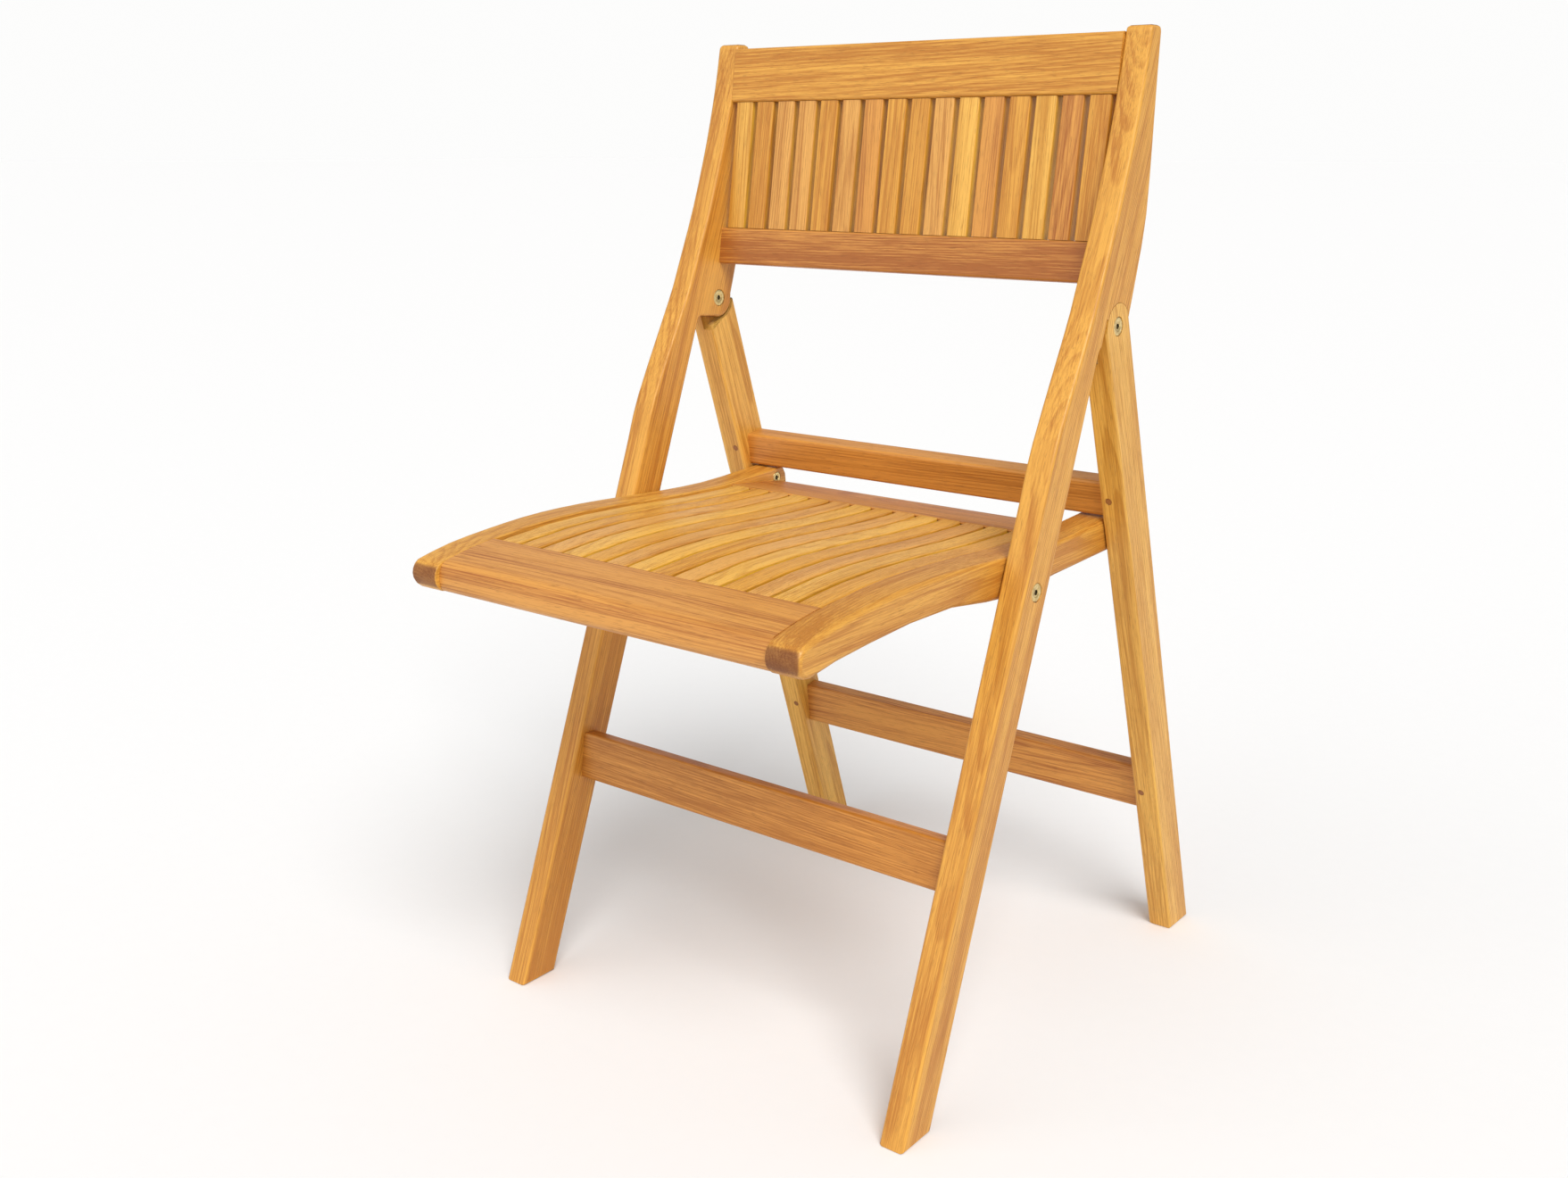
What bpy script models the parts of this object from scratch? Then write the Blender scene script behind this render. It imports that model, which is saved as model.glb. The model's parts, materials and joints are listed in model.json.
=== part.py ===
"""Slatted wooden folding chair.

Two bent stiles carry the back panel and the front feet. The rear legs hang from a half-lapped
knuckle on each stile. The seat turns on the stiles and its rear pins slide in grooves in the
rear legs. The chair faces -Y, its width is along X, and the floor is Z = 0. Outlines are lists
of (y, z) points with y = 0 at the front feet's front edge; build() then moves the whole chair
so that its origin is on the floor under its middle.
"""
import math

import bmesh
import bpy
from mathutils import Matrix, Vector

# Overall sizes, in metres
OVERALL_WIDTH = 0.460
KNUCKLE_HEIGHT = 0.6304          # floor to the rear legs' hinge axis
BACK_RISE = 0.2406               # hinge axis to the top of the stiles

# Boards
STILE_THICKNESS = 0.024
STILE_WIDTH = 0.0381             # across the straight lower part
STILE_LEAN = math.radians(20.4)
STILE_ARRIS = 0.0030
LEG_THICKNESS = 0.024
LEG_WIDTH = 0.0388
LEG_LEAN = math.radians(18.6)
LEG_ARRIS = 0.0025
STILE_TOP_ROUND = 0.0050
BEND_DROP = 0.1300               # the stiles' front edge starts to bend this far below the hinge

# Clearances
FIT = 0.0003                     # between faces that touch
SIDE_PLAY = 0.0010               # seat rail to stile, each side
LAP_PLAY = 0.0004                # round a knuckle disc
SHOULDER_PLAY = 0.0016           # knuckle ear to the leg's inner shoulder

# Knuckle
KNUCKLE_SETBACK = 0.0223         # hinge axis behind the stile's straight rear edge
EAR_FILLET = 0.0050
EAR_FALL = math.radians(16.0)     # slope of the ear's lower edge towards the straight rear edge
EAR_START = math.radians(8.0)    # where the bent rear edge runs into the ear's disc

# The stiles' bent edges: share of the back's rise, and distance behind the hinge axis
BEND_FRONT = ((-0.3616, -0.0963), (0.00, -0.0500), (0.123, -0.0363), (0.372, -0.0109),
              (0.622, 0.0098), (0.830, 0.0235), (0.979, 0.0310))
BEND_REAR = ((0.979, 0.0505), (0.830, 0.0485), (0.622, 0.0465), (0.372, 0.0429), (0.180, 0.0316))

# Back panel
PANEL_LEAN = math.radians(8.0)
PANEL_SETBACK = 0.0300           # lower back rail's face behind the stile's front edge
BACK_RAIL_DEPTH = 0.0155
BACK_RAIL_ARRIS = 0.0024
TOP_RAIL_HEIGHT = 0.0500
TOP_RAIL_DROP = 0.0050           # stile tops stand this far above the top rail
LOWER_RAIL_HEIGHT = 0.0345
LOWER_RAIL_RISE = 0.0500         # hinge axis to the middle of the lower back rail
BACK_SLAT_COUNT = 16
BACK_SLAT_GAP = 0.0049
BACK_SLAT_DEPTH = 0.0120

# Slat tongues and rail tenons
TONGUE_THICKNESS = 0.0045
TONGUE_LENGTH = 0.0070
TENON_LENGTH = 0.0150
TENON_SHOULDER = 0.0050
JOINT_OVERLAP = 0.0020           # a tenon's root inside its own rail

# Cross rails below the seat
RAIL_ARRIS = 0.0030
FRONT_RAIL_HEIGHT = 0.0445
FRONT_RAIL_DEPTH = 0.0180
FRONT_RAIL_LEVEL = 0.2080
STRETCHER_TILT = math.radians(8.0)
LOW_STRETCHER_HEIGHT = 0.0450
LOW_STRETCHER_DEPTH = 0.0180
LOW_STRETCHER_LEVEL = 0.1640
LOW_STRETCHER_SETBACK = 0.0020   # its middle behind the legs' centre line
HIGH_STRETCHER_HEIGHT = 0.0325
HIGH_STRETCHER_DEPTH = 0.0240
HIGH_STRETCHER_PLAY = 0.0018     # seat rail's rear end to the stretcher above it
HIGH_STRETCHER_SETBACK = 0.0040  # its rear face ahead of the legs' rear edges
DOWEL_RADIUS = 0.0030
DOWEL_LENGTH = 0.0160

# Seat
SEAT_PIVOT_HEIGHT = 0.4262
SEAT_PIN_HEIGHT = 0.4440
SEAT_PIN_LEAD = 0.0104           # seat pin ahead of the leg's centre line
SEAT_REACH = 0.2840              # seat pivot to the front tip of the side rails
SEAT_TAIL = 0.0160               # seat pin to the side rails' rear end
SEAT_TAIL_ROUND = 0.0090
SIDE_RAIL_THICKNESS = 0.0310
SIDE_RAIL_ARRIS = 0.0045         # outer edges
SIDE_RAIL_INNER_ARRIS = 0.0012   # edges beside the seat
SEAT_NOSE_RADIUS = 0.0140
SEAT_FRONT_RAIL_DEPTH = 0.0610
SEAT_FRONT_RAIL_SETBACK = 0.0050
SEAT_FRONT_RAIL_THICKNESS = 0.0270
SEAT_FRONT_ROUND_TOP = 0.0120
SEAT_FRONT_ROUND_LOW = 0.0070
SEAT_REAR_RAIL_DEPTH = 0.0780
SEAT_REAR_RAIL_THICKNESS = 0.0190
SEAT_REAR_RAIL_SETBACK = 0.0120  # its rear edge ahead of the side rails' rear end
SEAT_REAR_RAIL_FALL = 0.0085
SEAT_REAR_RAIL_LIP = 0.0004      # its front edge above the slats' tops
SEAT_REAR_RAIL_ARRIS = 0.0009
SEAT_SLAT_COUNT = 14
SEAT_SLAT_GAP = 0.0042
SEAT_SLAT_THICKNESS = 0.0100
SEAT_SLAT_SINK = 0.0020          # slat tops below the side rails' tops
SLAT_ARRIS = 0.0014
GROOVE_CHEEK = 0.0090            # slat tongue's middle to the front rail's lower corner
SEAT_TENON_FRONT = (0.026, 0.010)
SEAT_TENON_REAR = (0.028, 0.008)

# Hardware
BOLT_HEAD_RADIUS = 0.0080
BOLT_HEAD_THICKNESS = 0.0025
HEAD_RIM = 0.0005
NUT_WEB = 0.0020                 # solid metal behind a sleeve nut's head
HEX_DEPTH = 0.0015
BOLT_SHANK_RADIUS = 0.0032
SLEEVE_RADIUS = 0.0045
HEX_RADIUS = 0.0027
PIN_HEAD_RADIUS = 0.0060
PIN_RADIUS = 0.0030
GROOVE_DEPTH = 0.0100
GROOVE_PLAY = 0.0008

# Folding: how far the legs stop short of lying parallel, and where the pin then sits
LEG_FOLD_STOP = math.radians(1.0)
FOLDED_PIN_LEAD = 0.0084

BODY = "folding_chair"
ROUND_STEPS = 12                 # sides of a turned piece
FINE_STEPS = 48                  # sides of a knuckle's round recess
OVERCUT = 0.0050                 # how far a cutter stands out past the face it enters
SHARP = math.radians(35.0)       # edges that turn by more than this get an arris


# ---------------------------------------------------------------- plane geometry

def turn(point, centre, angle):
    """Turn a (y, z) point about a centre; a positive angle lowers what is behind it."""
    dy = point[0] - centre[0]
    dz = point[1] - centre[1]
    cos = math.cos(angle)
    sin = math.sin(angle)
    return (centre[0] + cos * dy + sin * dz, centre[1] - sin * dy + cos * dz)


def arc(centre, radius, start, end, steps):
    """Points on an arc; angles in radians from +Y towards +Z."""
    points = []
    for i in range(steps + 1):
        angle = start + (end - start) * i / steps
        points.append((centre[0] + radius * math.cos(angle), centre[1] + radius * math.sin(angle)))
    return points


def smooth(points, steps):
    """A smooth line through points, with the given number of steps between two of them."""
    line = []
    last = len(points) - 1
    for i in range(last):
        before = points[max(i - 1, 0)]
        start = points[i]
        end = points[i + 1]
        after = points[min(i + 2, last)]
        for k in range(steps):
            t = k / steps
            blend = []
            for j in range(2):
                a = 2.0 * start[j]
                b = end[j] - before[j]
                c = 2.0 * before[j] - 5.0 * start[j] + 4.0 * end[j] - after[j]
                d = 3.0 * start[j] - before[j] - 3.0 * end[j] + after[j]
                blend.append(0.5 * (a + b * t + c * t * t + d * t * t * t))
            line.append((blend[0], blend[1]))
    line.append(points[-1])
    return line


def height_at(line, y):
    """Height of a line that runs along +Y, at y."""
    for (y0, z0), (y1, z1) in zip(line, line[1:]):
        if y0 <= y <= y1:
            return z0 + (z1 - z0) * (y - y0) / (y1 - y0)
    return line[0][1] if y < line[0][0] else line[-1][1]


def stretch(line, y_from, y_to):
    """The part of a line between two values of y."""
    inner = [point for point in line if y_from + 1e-6 < point[0] < y_to - 1e-6]
    return [(y_from, height_at(line, y_from))] + inner + [(y_to, height_at(line, y_to))]


def tilted_rectangle(centre, depth, height, tilt):
    """Corners of a cross section whose top leans back by the tilt."""
    corners = []
    for side, level in ((-1, -1), (1, -1), (1, 1), (-1, 1)):
        corner = (centre[0] + side * depth / 2, centre[1] + level * height / 2)
        corners.append(turn(corner, centre, tilt))
    return corners


# ---------------------------------------------------------------- axes and the fold

STILE_DOWN = Vector((-math.sin(STILE_LEAN), -math.cos(STILE_LEAN)))
STILE_BACK = Vector((math.cos(STILE_LEAN), -math.sin(STILE_LEAN)))
LEG_DOWN = Vector((math.sin(LEG_LEAN), -math.cos(LEG_LEAN)))
LEG_BACK = Vector((math.cos(LEG_LEAN), math.sin(LEG_LEAN)))


def stile_rear(z):
    """The straight rear edge of the stile, at height z."""
    return STILE_WIDTH / math.cos(STILE_LEAN) + z * math.tan(STILE_LEAN)


KNUCKLE_RADIUS = LEG_WIDTH / 2
KNUCKLE_Y = stile_rear(KNUCKLE_HEIGHT) + KNUCKLE_SETBACK / math.cos(STILE_LEAN)
KNUCKLE = (KNUCKLE_Y, KNUCKLE_HEIGHT)
STILE_TOP = KNUCKLE_HEIGHT + BACK_RISE


def leg_centre(z):
    """The centre line of the rear leg, at height z."""
    return KNUCKLE_Y + (KNUCKLE_HEIGHT - z) * math.tan(LEG_LEAN)


SEAT_PIVOT = (stile_rear(SEAT_PIVOT_HEIGHT) - STILE_WIDTH / 2 / math.cos(STILE_LEAN), SEAT_PIVOT_HEIGHT)
SEAT_PIN = (leg_centre(SEAT_PIN_HEIGHT) - SEAT_PIN_LEAD / math.cos(LEG_LEAN), SEAT_PIN_HEIGHT)

# The legs swing forward until they lie along the stiles. The seat's swing then puts its pin at
# the folded lead ahead of the leg's centre line, and both turn at one constant ratio.
LEG_FOLD = STILE_LEAN + LEG_LEAN - LEG_FOLD_STOP


def seat_fold():
    """Angle that the seat turns through while the legs turn through LEG_FOLD."""
    folded_down = turn(LEG_DOWN, (0.0, 0.0), LEG_FOLD)
    folded_back = turn(LEG_BACK, (0.0, 0.0), LEG_FOLD)
    from_knuckle = (SEAT_PIVOT[0] - KNUCKLE[0], SEAT_PIVOT[1] - KNUCKLE[1])
    offset = from_knuckle[0] * folded_back[0] + from_knuckle[1] * folded_back[1]
    arm = math.hypot(SEAT_PIN[0] - SEAT_PIVOT[0], SEAT_PIN[1] - SEAT_PIVOT[1])
    across = (-FOLDED_PIN_LEAD - offset) / arm
    along = math.sqrt(1.0 - across * across)
    direction_y = along * folded_down[0] + across * folded_back[0]
    direction_z = along * folded_down[1] + across * folded_back[1]
    rest = math.atan2(SEAT_PIN[1] - SEAT_PIVOT[1], SEAT_PIN[0] - SEAT_PIVOT[0])
    return rest - math.atan2(direction_z, direction_y)


SEAT_FOLD = seat_fold()
FOLD_RATIO = LEG_FOLD / SEAT_FOLD


def pin_path(steps):
    """The seat pin's way along the rear leg, in the leg's resting place."""
    path = []
    for i in range(steps + 1):
        angle = SEAT_FOLD * i / steps
        pin = turn(SEAT_PIN, SEAT_PIVOT, angle)
        path.append(turn(pin, KNUCKLE, -angle * FOLD_RATIO))
    return path


# ---------------------------------------------------------------- widths

STILE_X = OVERALL_WIDTH / 2 - STILE_THICKNESS / 2
LEG_X = OVERALL_WIDTH / 2 - LEG_THICKNESS / 2
BACK_SPAN = OVERALL_WIDTH - 2 * STILE_THICKNESS
LEG_SPAN = OVERALL_WIDTH - 2 * LEG_THICKNESS
SEAT_WIDTH = OVERALL_WIDTH - 2 * max(STILE_THICKNESS, LEG_THICKNESS) - 2 * SIDE_PLAY
SEAT_SPAN = SEAT_WIDTH - 2 * SIDE_RAIL_THICKNESS
SIDE_RAIL_X = SEAT_WIDTH / 2 - SIDE_RAIL_THICKNESS / 2


# ---------------------------------------------------------------- outlines

def stile_outline():
    """Foot, straight front edge, bent back, rounded top, ear, fillet, straight rear edge."""
    straight_top = KNUCKLE_HEIGHT - BEND_DROP
    front = [(straight_top * math.tan(STILE_LEAN), straight_top)]
    front += [(KNUCKLE_Y + back, KNUCKLE_HEIGHT + share * BACK_RISE) for share, back in BEND_FRONT]
    rear = [(KNUCKLE_Y + back, KNUCKLE_HEIGHT + share * BACK_RISE) for share, back in BEND_REAR]
    corner = STILE_TOP_ROUND
    top_front = (front[-1][0] + corner, STILE_TOP - corner)
    top_rear = (rear[0][0] - corner, STILE_TOP - corner)
    points = [(0.0, 0.0)] + smooth(front, 3)
    points += arc(top_front, corner, math.pi, math.pi / 2, 3)[1:]
    points += arc(top_rear, corner, math.pi / 2, 0.0, 3)[:-1]
    rear.append(arc(KNUCKLE, KNUCKLE_RADIUS, EAR_START, EAR_START, 1)[0])
    points += smooth(rear, 2)[:-1]
    # The lower edge leaves the disc below the hinge and falls to the straight rear edge through a fillet
    points += arc(KNUCKLE, KNUCKLE_RADIUS, EAR_START, -math.pi / 2 - STILE_LEAN, 9)
    fillet_ahead = KNUCKLE_SETBACK - EAR_FILLET
    fillet_down = KNUCKLE_RADIUS + fillet_ahead * math.tan(EAR_FALL) + EAR_FILLET / math.cos(EAR_FALL)
    fillet = (KNUCKLE_Y - fillet_ahead * STILE_BACK[0] + fillet_down * STILE_DOWN[0],
              KNUCKLE_HEIGHT - fillet_ahead * STILE_BACK[1] + fillet_down * STILE_DOWN[1])
    points += arc(fillet, EAR_FILLET, math.pi / 2 - STILE_LEAN + EAR_FALL, math.pi - STILE_LEAN, 5)
    points.append((stile_rear(0.0), 0.0))
    return points


def leg_outline():
    """Knuckle disc and two straight edges down to a level foot."""
    foot_front = leg_centre(0.0) - LEG_WIDTH / 2 / math.cos(LEG_LEAN)
    foot_rear = leg_centre(0.0) + LEG_WIDTH / 2 / math.cos(LEG_LEAN)
    disc = arc(KNUCKLE, KNUCKLE_RADIUS, math.pi + LEG_LEAN, LEG_LEAN, 12)
    return [(foot_front, 0.0)] + disc + [(foot_rear, 0.0)]


def shoulder_edge_outline():
    """What the leg's inner shoulder loses ahead of its centre line, for the ear of the stile."""
    ahead = KNUCKLE_RADIUS + OVERCUT
    start = KNUCKLE_RADIUS + SHOULDER_PLAY
    corners = ((0.0, 0.0), (0.0, start), (ahead, start + ahead * math.tan(EAR_FALL)), (ahead, 0.0))
    return [(KNUCKLE_Y - front * LEG_BACK[0] + down * LEG_DOWN[0],
             KNUCKLE_HEIGHT - front * LEG_BACK[1] + down * LEG_DOWN[1]) for front, down in corners]


def seat_top_line():
    """Top of the seat's side rails, crowned in front and dished behind."""
    front = SEAT_PIVOT[0] - SEAT_REACH
    rear = SEAT_PIN[0] + SEAT_TAIL
    rises = ((0.012, 0.0180), (0.042, 0.0240), (0.080, 0.0280), (0.125, 0.0312), (0.170, 0.0318))
    line = [(front + along, SEAT_PIVOT_HEIGHT + rise) for along, rise in rises]
    line.append((SEAT_PIVOT[0] - 0.060, SEAT_PIVOT_HEIGHT + 0.0300))
    line.append((SEAT_PIVOT[0] + 0.020, SEAT_PIVOT_HEIGHT + 0.0255))
    line.append((SEAT_PIN[0] - 0.090, SEAT_PIN_HEIGHT + 0.0060))
    line.append((SEAT_PIN[0] - 0.030, SEAT_PIN_HEIGHT + 0.0085))
    line.append((rear, SEAT_PIN_HEIGHT + 0.0112))
    return smooth(line, 2)


def seat_bottom_line():
    """Underside of the seat's side rails, deepest at the pivot."""
    front = SEAT_PIVOT[0] - SEAT_REACH
    rear = SEAT_PIN[0] + SEAT_TAIL
    drops = ((0.012, 0.0090), (0.045, 0.0040), (0.085, 0.0010))
    line = [(front + along, SEAT_PIVOT_HEIGHT - drop) for along, drop in drops]
    line.append((SEAT_PIVOT[0] - 0.145, SEAT_PIVOT_HEIGHT + 0.0018))
    line.append((SEAT_PIVOT[0] - 0.085, SEAT_PIVOT_HEIGHT + 0.0010))
    line.append((SEAT_PIVOT[0] - 0.030, SEAT_PIVOT_HEIGHT - 0.0065))
    line.append((SEAT_PIVOT[0] + 0.010, SEAT_PIVOT_HEIGHT - 0.0102))
    line.append((SEAT_PIN[0] - 0.095, SEAT_PIN_HEIGHT - 0.0240))
    line.append((rear, SEAT_PIN_HEIGHT - 0.0205))
    return smooth(line, 1)


SEAT_TOP = seat_top_line()
SEAT_BOTTOM = seat_bottom_line()
SEAT_NOSE_Y = SEAT_PIVOT[0] - SEAT_REACH
SEAT_REAR_Y = SEAT_PIN[0] + SEAT_TAIL
FRONT_RAIL_BACK = SEAT_NOSE_Y + SEAT_FRONT_RAIL_SETBACK + SEAT_FRONT_RAIL_DEPTH
REAR_RAIL_FRONT = SEAT_REAR_Y - SEAT_REAR_RAIL_DEPTH - SEAT_REAR_RAIL_SETBACK


def side_rail_outline():
    """Bullnose, crowned top, rounded rear end and shaped underside."""
    nose_start = SEAT_NOSE_Y + SEAT_NOSE_RADIUS
    tail_start = SEAT_REAR_Y - SEAT_TAIL_ROUND
    top = stretch(SEAT_TOP, nose_start, tail_start)
    bottom = stretch(SEAT_BOTTOM, nose_start, tail_start)
    points = list(top)
    middle = (top[-1][1] + bottom[-1][1]) / 2
    half = (top[-1][1] - bottom[-1][1]) / 2
    for angle in (60.0, 30.0, 0.0, -30.0, -60.0):
        a = math.radians(angle)
        points.append((tail_start + SEAT_TAIL_ROUND * math.cos(a), middle + half * math.sin(a)))
    points += reversed(bottom)
    middle = (top[0][1] + bottom[0][1]) / 2
    half = (top[0][1] - bottom[0][1]) / 2
    for angle in (-115.0, -140.0, -160.0, -180.0, -200.0, -220.0, -240.0):
        a = math.radians(angle)
        points.append((nose_start + SEAT_NOSE_RADIUS * math.cos(a), middle + half * math.sin(a)))
    return points


def tongue_level(y):
    """Middle height of the slats' tongues at a seat rail's inner edge."""
    return height_at(SEAT_TOP, y) - SEAT_SLAT_SINK - SEAT_SLAT_THICKNESS / 2


def groove_notch(y, inward):
    """Corners of the groove for the seat slats' tongues, in a rail edge at y."""
    half = TONGUE_THICKNESS / 2 + FIT
    deep = y + inward * (TONGUE_LENGTH + FIT)
    level = tongue_level(y)
    return [(y, level + half), (deep, level + half), (deep, level - half), (y, level - half)]


def seat_front_rail_outline():
    """Rounded front edge, top flush with the side rails, groove behind."""
    front = SEAT_NOSE_Y + SEAT_FRONT_RAIL_SETBACK
    top = stretch(SEAT_TOP, front + SEAT_FRONT_ROUND_TOP, FRONT_RAIL_BACK)
    low = top[0][1] - SEAT_FRONT_RAIL_THICKNESS
    points = list(top)
    points += groove_notch(FRONT_RAIL_BACK, -1)
    points.append((FRONT_RAIL_BACK, tongue_level(FRONT_RAIL_BACK) - GROOVE_CHEEK))
    low_round = (front + SEAT_FRONT_ROUND_LOW, low + SEAT_FRONT_ROUND_LOW)
    top_round = (front + SEAT_FRONT_ROUND_TOP, top[0][1] - SEAT_FRONT_ROUND_TOP)
    points += arc(low_round, SEAT_FRONT_ROUND_LOW, -math.pi / 2, -math.pi, 3)
    points += arc(top_round, SEAT_FRONT_ROUND_TOP, math.pi, math.pi / 2, 4)[:-1]
    return points


def seat_rear_rail_outline():
    """A plain board that falls slightly to the rear, with the groove in its front edge."""
    rear = REAR_RAIL_FRONT + SEAT_REAR_RAIL_DEPTH
    front_top = height_at(SEAT_TOP, REAR_RAIL_FRONT) - SEAT_SLAT_SINK + SEAT_REAR_RAIL_LIP
    rear_top = front_top - SEAT_REAR_RAIL_FALL
    points = [(REAR_RAIL_FRONT, front_top), (rear, rear_top)]
    points.append((rear, rear_top - SEAT_REAR_RAIL_THICKNESS))
    points.append((REAR_RAIL_FRONT, front_top - SEAT_REAR_RAIL_THICKNESS))
    return points + list(reversed(groove_notch(REAR_RAIL_FRONT, 1)))


def seat_slat_outline():
    """A bent strip that follows the side rails, with a tongue at each end."""
    front = FRONT_RAIL_BACK + FIT
    rear = REAR_RAIL_FRONT - FIT
    top = [(y, z - SEAT_SLAT_SINK) for y, z in stretch(SEAT_TOP[::2], front, rear)]
    low = [(y, z - SEAT_SLAT_THICKNESS) for y, z in top]
    half = TONGUE_THICKNESS / 2
    front_level = tongue_level(FRONT_RAIL_BACK)
    rear_level = tongue_level(REAR_RAIL_FRONT)
    points = list(top)
    points += [(rear, rear_level + half), (rear + TONGUE_LENGTH, rear_level + half)]
    points += [(rear + TONGUE_LENGTH, rear_level - half), (rear, rear_level - half)]
    points += reversed(low)
    points += [(front, front_level - half), (front - TONGUE_LENGTH, front_level - half)]
    points += [(front - TONGUE_LENGTH, front_level + half), (front, front_level + half)]
    return points


def pin_groove_outline():
    """A slot with round ends along the pin's path."""
    half = PIN_RADIUS + GROOVE_PLAY
    path = pin_path(14)
    left = []
    right = []
    for i, point in enumerate(path):
        before = path[max(i - 1, 0)]
        after = path[min(i + 1, len(path) - 1)]
        length = math.hypot(after[0] - before[0], after[1] - before[1])
        side = ((after[1] - before[1]) / length, -(after[0] - before[0]) / length)
        left.append((point[0] + half * side[0], point[1] + half * side[1]))
        right.append((point[0] - half * side[0], point[1] - half * side[1]))
    start = math.atan2(right[0][1] - path[0][1], right[0][0] - path[0][0])
    end = math.atan2(left[-1][1] - path[-1][1], left[-1][0] - path[-1][0])
    cap_start = arc(path[0], half, start, start + math.pi, 6)[1:-1]
    cap_end = arc(path[-1], half, end, end + math.pi, 6)[1:-1]
    return left + cap_end + list(reversed(right)) + cap_start


# ---------------------------------------------------------------- Blender helpers

def clear_scene():
    for obj in list(bpy.data.objects):
        bpy.data.objects.remove(obj, do_unlink=True)


def new_collection(name):
    collection = bpy.data.collections.new(name)
    bpy.context.scene.collection.children.link(collection)
    return collection


def new_material(name, colour, roughness, metallic=0.0):
    material = bpy.data.materials.new(name)
    material.use_nodes = True
    shader = material.node_tree.nodes["Principled BSDF"]
    shader.inputs["Base Color"].default_value = (*colour, 1.0)
    shader.inputs["Roughness"].default_value = roughness
    shader.inputs["Metallic"].default_value = metallic
    material.diffuse_color = (*colour, 1.0)
    return material


clear_scene()
PARTS = new_collection(BODY)
CUTTERS = new_collection("cutters")
HONEY = new_material("teak_honey", (0.62, 0.30, 0.075), 0.45)
AMBER = new_material("teak_amber", (0.50, 0.20, 0.045), 0.45)
PALE = new_material("teak_pale", (0.72, 0.40, 0.10), 0.45)
RUSSET = new_material("teak_russet", (0.40, 0.15, 0.040), 0.45)
PINKISH = new_material("teak_pinkish", (0.60, 0.29, 0.12), 0.45)
BRASS = new_material("brass_plate", (0.72, 0.60, 0.36), 0.30, 1.0)


def new_axis(name, point):
    """An empty on a hinge axis, in the chair's middle plane."""
    empty = bpy.data.objects.new(name, None)
    empty.empty_display_size = 0.05
    empty.location = (0.0, point[0], point[1])
    PARTS.objects.link(empty)
    return empty


def new_object(name, mesh, material, parent=None, x=0.0):
    """A part whose mesh is laid out from its parent's axis."""
    obj = bpy.data.objects.new(name, mesh)
    mesh.materials.clear()
    mesh.materials.append(material)
    obj.parent = parent
    obj.location.x = x
    PARTS.objects.link(obj)
    return obj


def into(target, obj):
    """Move an object to a collection."""
    for collection in list(obj.users_collection):
        collection.objects.unlink(obj)
    target.objects.link(obj)
    return obj


def as_cutter(obj):
    obj.hide_render = True
    obj.display_type = "WIRE"
    return into(CUTTERS, obj)


def outline_mesh(name, outline, width, origin=(0.0, 0.0)):
    """A closed outline in the YZ plane, extruded to a width along X."""
    curve = bpy.data.curves.new(name, "CURVE")
    curve.dimensions = "2D"
    curve.fill_mode = "BOTH"
    curve.extrude = width / 2
    spline = curve.splines.new("POLY")
    spline.points.add(len(outline) - 1)
    for point, (y, z) in zip(spline.points, outline):
        point.co = (y - origin[0], z - origin[1], 0.0, 1.0)
    spline.use_cyclic_u = True
    carrier = bpy.data.objects.new(name, curve)
    mesh = bpy.data.meshes.new_from_object(carrier)
    bpy.data.objects.remove(carrier)
    bpy.data.curves.remove(curve)
    mesh.name = name
    mesh.transform(Matrix(((0, 0, 1, 0), (1, 0, 0, 0), (0, 1, 0, 0), (0, 0, 0, 1))))
    bm = bmesh.new()
    bm.from_mesh(mesh)
    bmesh.ops.remove_doubles(bm, verts=bm.verts, dist=1e-6)
    bmesh.ops.dissolve_limit(bm, angle_limit=math.radians(0.5), verts=bm.verts, edges=bm.edges)
    bmesh.ops.recalc_face_normals(bm, faces=bm.faces)
    bm.to_mesh(mesh)
    bm.free()
    return mesh


def round_edges(mesh, radius, segments, pick):
    """Round the edges of a mesh that the pick function chooses."""
    bm = bmesh.new()
    bm.from_mesh(mesh)
    bm.normal_update()
    edges = []
    for edge in bm.edges:
        if edge.is_convex and edge.calc_face_angle() > SHARP and pick(edge):
            edges.append(edge)
    bmesh.ops.bevel(bm, geom=edges, offset=radius, offset_type="OFFSET", segments=segments,
                    profile=0.5, material=-1, affect="EDGES")
    bm.to_mesh(mesh)
    bm.free()
    return mesh


def along_x(edge):
    direction = (edge.verts[1].co - edge.verts[0].co).normalized()
    return abs(direction.x) > 0.99


def around_outline(edge):
    """An edge of a board's side faces."""
    return not along_x(edge)


def on_disc(edge):
    """An edge round a leg's knuckle disc, which stays square to close the lap."""
    return all(math.hypot(vert.co.y, vert.co.z) < KNUCKLE_RADIUS * 1.01 for vert in edge.verts)


def tool_box(name, centre, size, tilt=0.0, parent=None):
    """A box cutter; centre in world (x, y, z), tilt as in tilted_rectangle."""
    bpy.ops.mesh.primitive_cube_add(size=1.0)
    obj = bpy.context.object
    obj.name = name
    obj.data.name = name
    obj.data.transform(Matrix.Diagonal((*size, 1.0)))
    obj.rotation_euler.x = -tilt
    place(obj, centre, parent)
    return as_cutter(obj)


def tool_cylinder(name, centre, radius, length, vertices=24, parent=None):
    """A cylinder cutter along X."""
    bpy.ops.mesh.primitive_cylinder_add(vertices=vertices, radius=radius, depth=length)
    obj = bpy.context.object
    obj.name = name
    obj.data.name = name
    obj.rotation_euler.y = math.pi / 2
    place(obj, centre, parent)
    return as_cutter(obj)


def place(obj, centre, parent):
    """Put an object at a world place, given the parent empty that carries it."""
    base = parent.location if parent else Vector((0.0, 0.0, 0.0))
    obj.location = Vector(centre) - base
    obj.parent = parent


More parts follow.
